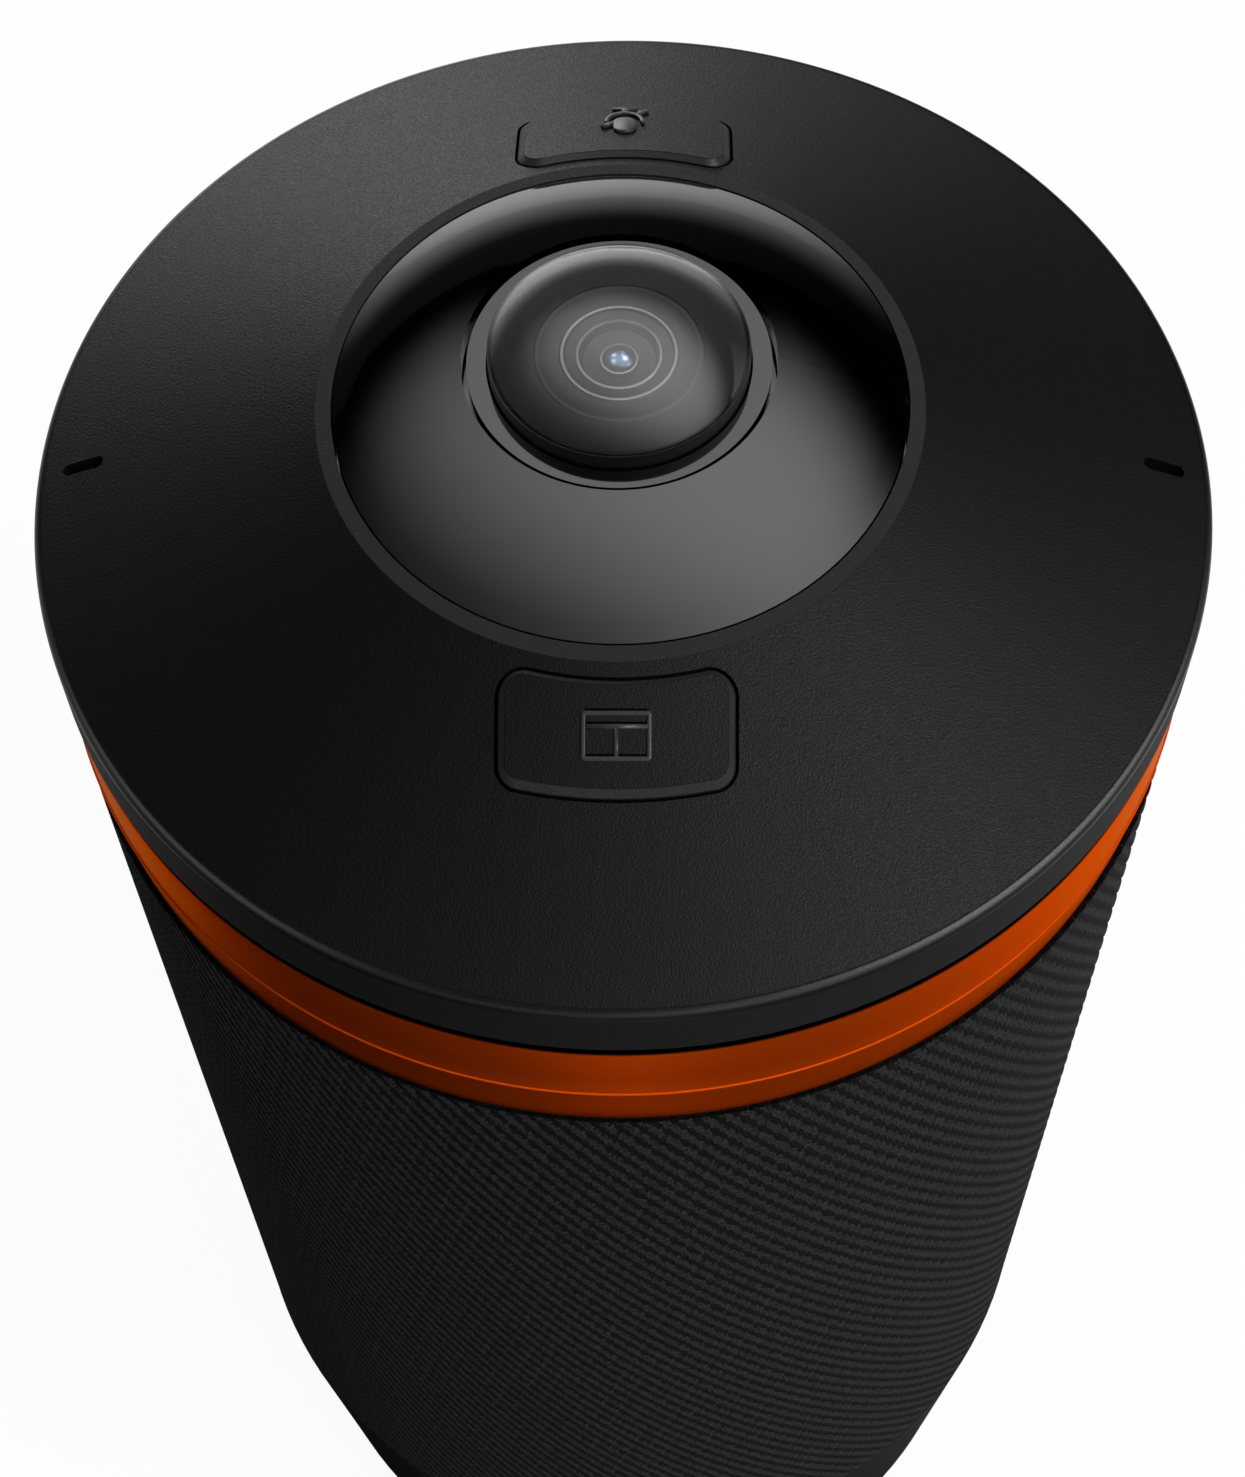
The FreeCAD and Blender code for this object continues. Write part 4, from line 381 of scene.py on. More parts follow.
def ribbed_cloth(settings):
    """Warp-knitted polyester with twisted ribs: matt charcoal yarn, dark where ribs meet, darkest in the stitch holes.

    The sleeve's own UV map is in millimetres, across the ribs and along them. Three waves with one and two periods
    in a stitch widen the grooves to a row of holes, waves with four periods in a stitch draw the strands of each
    rib's twist, and fine noise gives the loose fibres, 4.6 to a millimetre, which is coarser than real ones so that
    they show. The darkening where ribs meet and in the stitch holes is painted shade, and the top edge under the orange
    band is darkened as painted shadow of the band.
    """
    material, add, place = new_material("Ribbed polyester knit, charcoal")
    flat = add("SeparateXYZ", add("UVMap", uv_map="surface")).outputs
    rib = add("Math.DIVIDE", flat["X"], rib_pitch(settings))
    stitch = add("Math.DIVIDE", flat["Y"], settings.stitch / MM)
    turn = round(0.8 * settings.ribs) / settings.ribs          # whole waves round the tower, so the seam closes
    single, paired, double, strand, crossing = (
        sine_wave(add, rib, stitch, ribs, stitches) for ribs, stitches in (
            (turn, 1.0), (turn - 0.5, 1.0), (2.0 * turn, 2.0), (4.0 * turn - 1.0, 4.0), (4.0 * turn, 4.0)))
    hole = add("Math.MULTIPLY_ADD", add("Math.ADD", single, paired), 0.3, add("Math.MULTIPLY", double, 0.5))
    groove = add("Math.PINGPONG", rib, 0.5)
    fibres = add("TexNoise", place, Scale=4.6 * PER_METRE, Detail=1.0)
    cloud = add("TexNoise", place, Scale=1.3 * PER_METRE, Detail=2.0)
    # painted shade: crest darkens the yarn in the grooves between ribs and in the stitch holes
    crest = add("MapRange", add("Math.MULTIPLY_ADD", fibres, 0.2, groove), add("Math.MULTIPLY_ADD", hole, 0.3, 0.06),
                add("Math.MULTIPLY_ADD", hole, 0.22, 0.28), interpolation_type="SMOOTHSTEP")
    strands = add("Math.ADD", strand, crossing)
    tone = add("Math.MULTIPLY_ADD", strands, 0.22, add("MapRange", fibres, *NOISE, -1.0, 1.3))
    tone = add("Math.MULTIPLY_ADD", cloud, 0.7, tone)
    # painted shadow of the orange band: the sleeve's top edge is darkened by height
    cut = add("MapRange", add("SeparateXYZ", place).outputs["Z"],
              SLEEVE[1].z + 0.08 * MM, SLEEVE[1].z + 0.15 * MM, 1.0, 0.05)
    tone = add("Math.MULTIPLY", add("Math.MULTIPLY", tone, crest), cut)
    relief = add("Math.MULTIPLY", crest, add("Math.MULTIPLY_ADD", strands, 0.3, 1.0))
    relief = add("Math.MULTIPLY_ADD", fibres, 0.3, relief)
    add("OutputMaterial", add(
        "BsdfPrincipled", Base_Color=add("Mix.RGBA", tone, settings.shade, settings.colour),
        Roughness=0.9, Specular_IOR_Level=0.05, Sheen_Weight=0.04, Sheen_Roughness=0.5,
        Normal=add("Bump", Height=relief, Distance=0.14 * MM, Strength=0.8)))
    return material


def circuit_board():
    """Solder mask over copper: glossy green lacquer, with lighter tracks round lands 1.2 mm long and 0.6 mm wide."""
    material, add, place = new_material("Solder mask, green")
    tracks = add("TexBrick", place, "#0e4a2c", "#12552f", "#2b7a48", Scale=0.42 * PER_METRE, Mortar_Size=0.03)
    add("OutputMaterial", add(
        "BsdfPrincipled", Base_Color=tracks, Roughness=0.32,
        Normal=add("Bump", Height=tracks.outputs["Fac"], Distance=0.03 * MM, Strength=0.6)))
    return material


def copper_winding():
    """Enamelled copper wire, wound: warm brown-red bands 0.2 mm apart with a lacquer gloss."""
    material, add, place = new_material("Enamelled copper winding")
    turns = add("TexWave", place, Scale=WAVE / 0.2, bands_direction="Z").outputs["Fac"]
    add("OutputMaterial", add(
        "BsdfPrincipled", Metallic=1.0, Base_Color=add("Mix.RGBA", turns, "#5a2412", "#b8643a"),
        Roughness=add("MapRange", turns, *FULL, 0.5, 0.28),
        Normal=add("Bump", Height=turns, Distance=0.05 * MM)))
    return material


def ring_lacquer(settings):
    """Metallic orange lacquer on polycarbonate, five flakes to a millimetre: it mirrors the floor softly, in orange.

    From 172.0 to 172.2 mm up, the ring's top face is painted black, as painted shadow in the gap under the cover.
    """
    material, add, place = new_material("Metallic lacquer on polycarbonate, orange")
    flakes = add("TexNoise", place, Scale=5.0 * PER_METRE, Detail=1.0)
    cloud = add("TexNoise", place, Scale=0.06 * PER_METRE, Detail=3.0)
    lacquer = add("Mix.RGBA", flakes, shaded(settings.ring, 0.92), settings.ring)
    level = add("SeparateXYZ", place).outputs["Z"]
    # painted shadow: the top face turns black where the cover's overhang shades the ring
    painted_gap_shade = add("MapRange", level, 172.0 * MM, 172.2 * MM, *FULL)
    add("OutputMaterial", add(
        "BsdfPrincipled", Base_Color=add("Mix.RGBA", painted_gap_shade, lacquer, "#020202"),
        Metallic=0.68, Specular_IOR_Level=0.0, Specular_Tint="#ffb43a",
        Roughness=add("MapRange", cloud, *NOISE, 0.27, 0.32),
        Normal=add("Bump", Height=flakes, Distance=0.001 * MM, Strength=0.5)))
    return material


def cover_skin(settings):
    """Spark-eroded PC-ABS: a fine matt grain on cone and keys, a paler, duller rim and paler, smoother key chamfers.

    The grain has 6.5 pits to a millimetre. The chamfers are found by their height above the cover's cone, 0.05 to
    0.49 mm: the key tops lie over them. The paler colour of the rim and the chamfers is painted highlight.
    """
    material, add, place = new_material("Spark-textured PC-ABS, black")
    radius = distance_from_axis(add, place)
    level = add("Math.MULTIPLY_ADD", add("SeparateXYZ", place).outputs["Z"], PER_METRE,
                -(CONE_TOP + CONE_FALL * CONE_RIM))
    height = add("Math.MULTIPLY_ADD", radius, CONE_FALL, level)
    chamfer = add("Math.COMPARE", height, 0.27, 0.22)
    rim = add("Math.LESS_THAN", radius, CONE_RIM - 0.05)
    fine = add("TexNoise", place, Scale=6.5 * PER_METRE, Detail=1.0)
    rough = add("Math.MULTIPLY_ADD", rim, 0.25, add("MapRange", fine, *NOISE, 0.64, 0.44))
    grain = add("Mix.RGBA", add("MapRange", fine, *NOISE, *FULL), shaded(settings.cover, 0.4), settings.cover)
    # painted highlight: the rim and the key chamfers get a paler colour, standing in for the light they catch
    pale = add("Math.MAXIMUM", add("Math.MULTIPLY", rim, 0.7), chamfer)
    add("OutputMaterial", add(
        "BsdfPrincipled", Base_Color=add("Mix.RGBA", pale, grain, "#2b2b2b"),
        Specular_IOR_Level=0.3, Roughness=add("Math.MULTIPLY_ADD", chamfer, -0.16, rough),
        Normal=add("Bump", Height=fine, Distance=0.042 * MM)))
    return material


def rubbed_edge(settings):
    """PC-ABS edge, rubbed smoother than the cone: it carries the soft light line round the cover."""
    material, add, place = new_material("Rubbed PC-ABS edge, black")
    fine = add("TexNoise", place, Scale=6.5 * PER_METRE, Detail=1.0)
    add("OutputMaterial", add(
        "BsdfPrincipled", Specular_IOR_Level=0.3,
        Base_Color=add("Mix.RGBA", fine, shaded(settings.cover, 0.4), settings.cover),
        Roughness=add("MapRange", fine, *NOISE, 0.4, 0.32),
        Normal=add("Bump", Height=fine, Distance=0.015 * MM)))
    return material


def lens_rings():
    """Blackened lens rings with bright turned edges round a coated glass bead.

    The edges lie 1.3, 3.0 and 4.1 mm from the axis, with a faint one at 5.9 mm. The bead's pale spots are painted
    glints over its blue coating.
    """
    material, add, place = new_material("Blackened aluminium with bright edges")
    radius = distance_from_axis(add, place)
    faint = add("Math.COMPARE", radius, 5.9, 0.13)
    bright = add("Math.MULTIPLY", faint, 0.15)
    for middle, half in ((4.1, 0.13), (3.0, 0.12), (1.3, 0.08)):
        bright = add("Math.MAXIMUM", bright, add("Math.COMPARE", radius, middle, half))
    bead = add("Math.LESS_THAN", radius, 1.19)
    metal = add("Mix.RGBA", bright, "#050505", "#7b7d7d")
    # painted glints: pale spots on the bead's blue coating stand in for its highlights
    spots = add("TexVoronoi", place, Scale=1.7 * PER_METRE)
    coat = add("Mix.RGBA", add("MapRange", spots, 0.15, 0.5, 1.0, 0.0), "#5f6d84", "#c4d6f4")
    add("OutputMaterial", add(
        "BsdfPrincipled", Base_Color=add("Mix.RGBA", bead, metal, coat),
        Specular_IOR_Level=0.3, Metallic=add("Math.MAXIMUM", bright, bead),
        Roughness=add("Math.MULTIPLY_ADD", bead, -0.16, 0.32)))
    return material


def make_finishes(settings):
    """All finishes but the new pieces' own, by the record's material slot."""
    polished = {"Coat_Weight": 1.0, "Coat_Roughness": 0.02, "Coat_IOR": 1.5}
    straight = {"wave_type": "BANDS"}
    return {
        # PC-ABS with a spark-eroded texture: almost black, with a fine matt grain that only shows at the highlights,
        # and a painted highlight on the rim and the key chamfers
        "cover_plastic": cover_skin(settings),
        # hard-coated polycarbonate, polished: deep black under a clear coat, so reflections are sharp and strong
        "dome_gloss": moulded("Hard-coated polycarbonate, black", shaded(settings.dome, 0.6), settings.dome, 0.5,
                              0.0004, 0.09, **polished),
        # lacquered trim: the same black, polished flat so that the lens barrel mirrors in it
        "trim_black": moulded("Lacquered trim, black", "#070707", "#0a0a0a", 0.5, 0.0003, 0.1,
                              Coat_Weight=1.0, Coat_Roughness=0.04, Coat_IOR=1.5),
        # polycarbonate of a lens barrel, matt: dull and dark so that it swallows stray light
        "barrel_black": moulded("Lens-black polycarbonate, matt", "#101111", "#161717", 0.25, 0.004, 0.42),
        # optical glass, polished: clear, with two clean reflections of the light above
        "optical_glass": clear_glass("Polished optical glass", "#fdfefe", 1.52, 0.02),
        # infra-red cut filter: clear with a faint cold tint
        "filter_glass": clear_glass("Infra-red cut filter glass", "#dff2f0", 1.5, 0.02),
        # ABS, lightly textured: black base that is a little smoother than the cover
        "base_plastic": moulded("Lightly textured ABS, black", shaded(settings.base, 0.7), settings.base, 0.3, 0.008,
                                0.48),
        # glass-filled nylon: dark grey and slightly streaky
        "frame_plastic": moulded("Glass-filled nylon, dark grey", "#232424", "#323434", 0.4, 0.01, 0.6),
        # thermoplastic rubber: dead matt, slightly dusty
        "foot_rubber": moulded("Thermoplastic rubber, black", "#161616", "#242424", 0.5, 0.02, 0.85),
        # silicone rubber: smooth and greasy grey
        "gasket_rubber": moulded("Silicone rubber, grey", "#3c3d3d", "#4a4b4b", 0.6, 0.004, 0.55),
        # zinc-plated steel: cold light grey with turning marks
        "steel": machined("Zinc-plated steel", "#a9adb0", "#c6cacc", 0.12, 0.3),
        # nickel-plated stamped steel: brighter and smoother than the screws
        "port_steel": machined("Nickel-plated steel", "#b9b8b2", "#d0cfc9", 0.2, 0.2, **straight),
        # turned brass: warm yellow
        "insert_brass": machined("Turned brass", "#b8913f", "#d2ae5c", 0.1, 0.28),
        # drawn aluminium: light, finely lined
        "post_metal": machined("Drawn aluminium", "#a3a6a8", "#bfc2c4", 0.15, 0.35, **straight),
        # solder mask: glossy green lacquer over tracks
        "board_green": circuit_board(),
        # epoxy moulding compound: matt black-grey with a very fine grain
        "chip_black": moulded("Epoxy moulding compound", "#1b1c1d", "#262729", 0.15, 0.003, 0.5),
        # sensor's glass-lidded package: dark with a violet cast
        "sensor_package": moulded("Sensor package, dark", "#1a1522", "#251c30", 0.4, 0.001, 0.15, **polished),
        # microphone can: pressed brass, gold-plated
        "mic_can": machined("Gold-plated can", "#bd9a4c", "#dcbc6e", 0.2, 0.25, **straight),
        # tactile switch: glass-filled nylon body, black and matt
        "switch_body": moulded("Nylon switch body, black", "#1d1e1e", "#292a2a", 0.2, 0.004, 0.5),
        # its plunger in acetal: milky white with a waxy shine
        "switch_plunger": moulded("Acetal, natural white", "#cfcdc6", "#dedcd5", 0.4, 0.002, 0.4),
        # extruded aluminium, grey-anodised fins: soft sheen along straight die lines
        "heat_sink_metal": machined("Anodised aluminium, grey", "#5d6063", "#777a7d", 0.2, 0.38, **straight),
        # deep-drawn steel, powder-coated dark: even and matt, with a fine orange peel
        "speaker_steel": moulded("Powder-coated steel, black", "#1b1b1c", "#28292a", 0.35, 0.01, 0.5),
        # hard ferrite: dark grey, sintered, slightly sparkling
        "magnet_ferrite": moulded("Sintered ferrite", "#2a2b2d", "#404244", 0.3, 0.006, 0.45),
        # enamelled copper wire: warm brown-red turns with a lacquer gloss
        "coil_copper": copper_winding(),
        # pressed paper: soft fibrous charcoal
        "cone_paper": moulded("Pressed paper, charcoal", "#1f1f20", "#343536", 0.7, 0.03, 0.9),
    }


# ---------------------------------------------------------------- operators

class WEBCAM_OT_finishes(bpy.types.Operator):
    """Give every CAD part its finish"""
    bl_idname = "webcam.finishes"
    bl_label = "Finishes"

    def execute(self, context):
        finishes = make_finishes(context.scene.webcam_finishes)
        for node in frame["nodes"].values():
            for slot in node.material_slots:
                slot.material = finishes.get(slot.material.name.split(".")[0], slot.material)
        return {"FINISHED"}


class WEBCAM_OT_fabric_cover(bpy.types.Operator):
    """Knit the ribbed sleeve round the tower"""
    bl_idname = "webcam.fabric_cover"
    bl_label = "Fabric cover"

    def execute(self, context):
        """Radius at angle a and height z: 44.85 mm plus the rib height times the rib's cross-section at its phase.

        The phase is the angle in ribs, and the grid is sheared so that its columns run along the ribs: the angle
        of a column turns by (z - bottom) / (radius tan lean). The cross-section is 1 - |2 u - 1| ** 2.4 to the
        power 0.6: a round cord with a narrow groove. The upper and lower edges turn in by a quarter circle, to
        44.62 mm, and a plain wall 0.1 mm clear of the grille closes the sleeve inside.
        """
        settings = context.scene.webcam_sleeve
        low, high = SLEEVE[0].z, SLEEVE[1].z + 0.25 * MM      # the cloth covers the foot of the orange band
        inner, rim = 44.3 * MM, 44.62 * MM
        straight, rows = 1.5 * MM, 56                         # the even rows start and end this far from the edges
        across = np.array([0.0, 0.1, 0.3, 0.5, 0.7, 0.9])
        cord = (1.0 - np.abs(2.0 * across - 1.0) ** 2.4) ** 0.6
        hem = np.array([0.0, 0.02, 0.05, 0.1, 0.18]) * MM
        level = np.concatenate([low + hem, np.linspace(low + straight, high - straight, rows), high - hem[::-1]])
        edge = np.clip(np.minimum(level - low, high - level) / hem[-1], 0.0, 1.0)
        turn_in = np.sqrt(1.0 - (1.0 - edge) ** 2)[:, None]
        phase = (np.arange(settings.ribs)[:, None] + across[None, :]).reshape(-1)

        def ring(radius, levels):
            levels = levels[:, None]
            angle = ROUND * phase[None, :] / settings.ribs - (levels - low) / (KNIT * math.tan(settings.lean))
            return np.stack(np.broadcast_arrays(radius * np.cos(angle), radius * np.sin(angle), levels), axis=-1)

        radius = rim + (KNIT - rim + settings.height * np.tile(cord, settings.ribs)[None, :]) * turn_in
        wall = np.array([high - 1.6 * MM, (low + high) / 2, low + 0.6 * MM])
        points = np.concatenate([ring(radius, level), ring(inner, wall)])
        u = np.append(phase, settings.ribs) * rib_pitch(settings)
        v = np.concatenate([level, wall, level[:1]]) / math.sin(settings.lean) / MM
        uv = np.stack(np.broadcast_arrays(u[None, :], v[:, None]), axis=-1)
        mesh = grid_mesh("fabric_cover", points, around=True, along=True, uv=uv)
        cover = piece("fabric_cover", mesh, "tower", ribbed_cloth(settings))
        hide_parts("fabric_sleeve")
        return {"FINISHED"}


class WEBCAM_OT_orange_band(bpy.types.Operator):
    """Turn the orange ring with its lip and its tapered foot"""
    bl_idname = "webcam.orange_band"
    bl_label = "Orange band"

    def execute(self, context):
        """Upper band upright, a 0.13 mm lip that faces up, then a foot that tapers in 4 degrees behind the cloth."""
        profile = [(44.42, 158.9), (44.64, 161.85), (44.86, 164.8), (44.94, 164.88), (45.0, 165.0), (45.01, 165.08),
                   (44.97, 165.18), (44.89, 165.26), (44.87, 165.4), (44.88, 168.0), (44.88, 171.9), (44.84, 172.12),
                   (44.72, 172.27), (44.55, 172.3), (41.6, 172.3), (41.6, 160.36), (44.2, 160.36), (44.24, 158.9)]
        band = piece("orange_band", turned_solid("orange_band", profile), "tower",
                     ring_lacquer(context.scene.webcam_finishes), crisp=30.0)
        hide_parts("orange_ring")
        return {"FINISHED"}


class WEBCAM_OT_cover_edge(bpy.types.Operator):
    """Turn the cover's upright wall and its smooth rounded edge"""
    bl_idname = "webcam.cover_edge"
    bl_label = "Cover edge"

    def execute(self, context):
        """Skins 0.03 mm proud of the cover: a wall up to 178.4 mm, then an arc of 0.93 mm round (44.1, 178.42)."""
        wall = [(44.9, 173.5), (44.98, 173.52), (45.03, 173.6), (45.03, 178.4), (44.9, 178.4)]
        matt = moulded("Matt PC-ABS, black", "#282828", "#2f2f2f", 0.25, 0.01, 0.6, Specular_IOR_Level=0.05)
        turn = np.radians(np.linspace(0.0, 65.6, 20))
        arc = np.stack([44.1 + 0.93 * np.cos(turn), 178.42 + 0.93 * np.sin(turn)], axis=1)
        edge = np.concatenate([[(44.9, 178.42)], arc, [(44.4, 179.285), (44.36, 179.27), (44.4, 178.9)]])
        rubbed = rubbed_edge(context.scene.webcam_finishes)
        for name, profile, material in (("cover_wall", wall, matt), ("cover_edge", edge, rubbed)):
            piece(name, turned_solid(name, profile), "tower", material, crisp=30.0)
        return {"FINISHED"}


class WEBCAM_OT_front_glass(bpy.types.Operator):
    """Grind the front glass, a thin domed meniscus on the lens barrel"""
    bl_idname = "webcam.front_glass"
    bl_label = "Front glass"

    def execute(self, context):
        """Two spherical faces 0.3 mm apart, z = c + sqrt(R * R - r * r), joined by an upright rim on the barrel."""
        rim, foot, crown, wall = 9.40, 195.47, 199.43, 0.3
        rise = crown - foot - 0.15                            # the outer face starts 0.15 mm over the rim's foot
        radius = (rim ** 2 + rise ** 2) / (2.0 * rise)
        middle = crown - radius
        quarter = np.linspace(0.0, math.pi / 2, 96)
        out = rim * np.cos(quarter)
        back = math.sqrt((radius - wall) ** 2 - (foot - middle) ** 2) * np.sin(quarter)
        dome, hollow = (np.stack([reach, middle + np.sqrt(sphere ** 2 - reach ** 2)], axis=1)
                        for reach, sphere in ((out, radius), (back, radius - wall)))
        mesh = turned_solid("front_glass", np.concatenate([[(rim, foot)], dome, hollow]), 256)
        coated = clear_glass("Multi-coated front glass", "#fbfdfd", 1.52, 0.01)
        glass = piece("front_glass", mesh, "tower", coated, crisp=30.0)
        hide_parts("front_lens")
        return {"FINISHED"}


class WEBCAM_OT_lens_core(bpy.types.Operator):
    """Turn the blackened rings and the bead that show under the front glass"""
    bl_idname = "webcam.lens_core"
    bl_label = "Lens core"

    def execute(self, context):
        """Stepped disc that falls towards the axis, with ridges at 5.9, 4.1, 3.0 and 1.3 mm round a bead of 1.18 mm."""
        turn = np.linspace(0.0, math.pi / 2, 14)
        bead = np.stack([1.18 * np.cos(turn), 194.0 + 0.75 * np.sin(turn)], axis=1)
        face = [(0.0, 193.6), (9.1, 193.6), (9.15, 193.65), (9.15, 195.2), (9.05, 195.3), (6.15, 194.92),
                (6.05, 195.0), (5.9, 195.02), (5.75, 194.94), (4.35, 194.86), (4.22, 194.98), (4.17, 195.0),
                (4.03, 195.0), (3.98, 194.97), (3.85, 194.8), (3.2, 194.66), (3.1, 194.78), (3.06, 194.8),
                (2.94, 194.8), (2.9, 194.76), (2.6, 194.15), (1.5, 193.9), (1.42, 194.2),
                (1.37, 194.24), (1.24, 194.24), (1.2, 194.2)]
        mesh = turned_solid("lens_core", np.concatenate([face, bead]), 192)
        piece("lens_core", mesh, "tower", lens_rings(), crisp=40.0)
        return {"FINISHED"}


class WEBCAM_OT_symbols(bpy.types.Operator):
    """Raise the layout and mute symbols on their keys"""
    bl_idname = "webcam.symbols"
    bl_label = "Key symbols"

    def execute(self, context):
        settings = context.scene.webcam_symbols
        # painted highlight: the relief is paler than the key plastic it stands on
        relief = moulded("Polished relief on PC-ABS", shaded(settings.colour, 0.9), settings.colour, 0.3, 0.001, 0.35)
        shade = moulded("Painted shadow line on PC-ABS", "#010101", "#020202", 0.3, 0.001, 0.9, Specular_IOR_Level=0.02)
        self.layout_key(settings, relief, shade)
        self.mute_key(settings, relief)
        return {"FINISHED"}

    def bead(self, path, width, rise, closed=False):
        """Mesh of one raised line on a key's top."""
        return grid_mesh("bead", on_cap(*raised_line(path, width, rise, closed)), around=True, along=closed)

    def layout_key(self, settings, relief, shade):
        """Window with a shelf and an upright under it, and a flat painted shadow line behind each of its level lines.
        """
        line, rise, middle = settings.line, settings.rise, -settings.middle
        half_width, half_depth = (settings.width - line) / 2, (settings.depth - line) / 2
        corner, bend = 0.13 * MM, np.linspace(0.0, math.pi / 2, 5)
        outline = np.concatenate([
            np.stack([sx * (half_width - corner) + corner * np.cos(bend + start),
                      middle + sy * (half_depth - corner) + corner * np.sin(bend + start)], axis=1)
            for sx, sy, start in ((1, 1, 0.0), (-1, 1, math.pi / 2), (-1, -1, math.pi), (1, -1, 1.5 * math.pi))])
        shelf = middle + half_depth * 0.42
        beads = [self.bead(outline, line, rise, closed=True),
                 self.bead([(-half_width, shelf), (half_width, shelf)], line, rise),
                 self.bead([(0.0, shelf), (0.0, middle - half_depth)], line, rise)]
        piece("layout_symbol", joined("layout_symbol", beads), "layout_key", relief)
        # painted shadow: near-black flat lines on the far side of each level line
        reach, behind = half_width - line / 2, line * 0.76
        beads = [self.bead([(-reach, y + behind), (reach, y + behind)], 0.19 * MM, 0.06 * MM)
                 for y in (middle + half_depth, shelf, middle - half_depth)]
        piece("layout_symbol_shade", joined("layout_symbol_shade", beads), "layout_key", shade)

    def mute_key(self, settings, relief):
        """Microphone, a capsule in a cradle on a stem and a foot, crossed by a stroke that shows at its two ends.

        Places are in millimetres from a point on the key, 27 mm from the tower's axis. The capsule is
        x = 0.92 cos a, y = 1.15 + 0.4 sign(sin a) + 0.85 sin a.
        """
        origin, thick, high = np.array([0.0, 27.0]), settings.line * 1.25, settings.rise * 1.8
        turn = np.linspace(0.0, ROUND, 32, endpoint=False)
        capsule = np.stack([0.92 * np.cos(turn), 1.15 + 0.4 * np.sign(np.sin(turn)) + 0.85 * np.sin(turn)], axis=1)
        pad = grid_mesh("pad", on_cap(*filled_shape((origin + capsule) * MM, settings.rise * 2.0)), around=True)
        arc = np.radians(np.linspace(-8.0, 188.0, 24))
        cradle = np.stack([1.42 * np.cos(arc), 1.75 + 1.42 * np.sin(arc)], axis=1)
        beads = [self.bead((origin + path) * MM, thick * share, high) for path, share in (
            (cradle, 1.0), ([(0.0, 3.1), (0.0, 3.8)], 1.6), ([(-1.0, 3.85), (1.0, 3.85)], 1.0),
            ([(-1.75, 0.8), (-0.8, 1.55)], 1.2), ([(0.8, 2.85), (1.75, 3.6)], 1.2))]
        piece("mute_symbol", joined("mute_symbol", [pad, *beads]), "mute_key", relief)


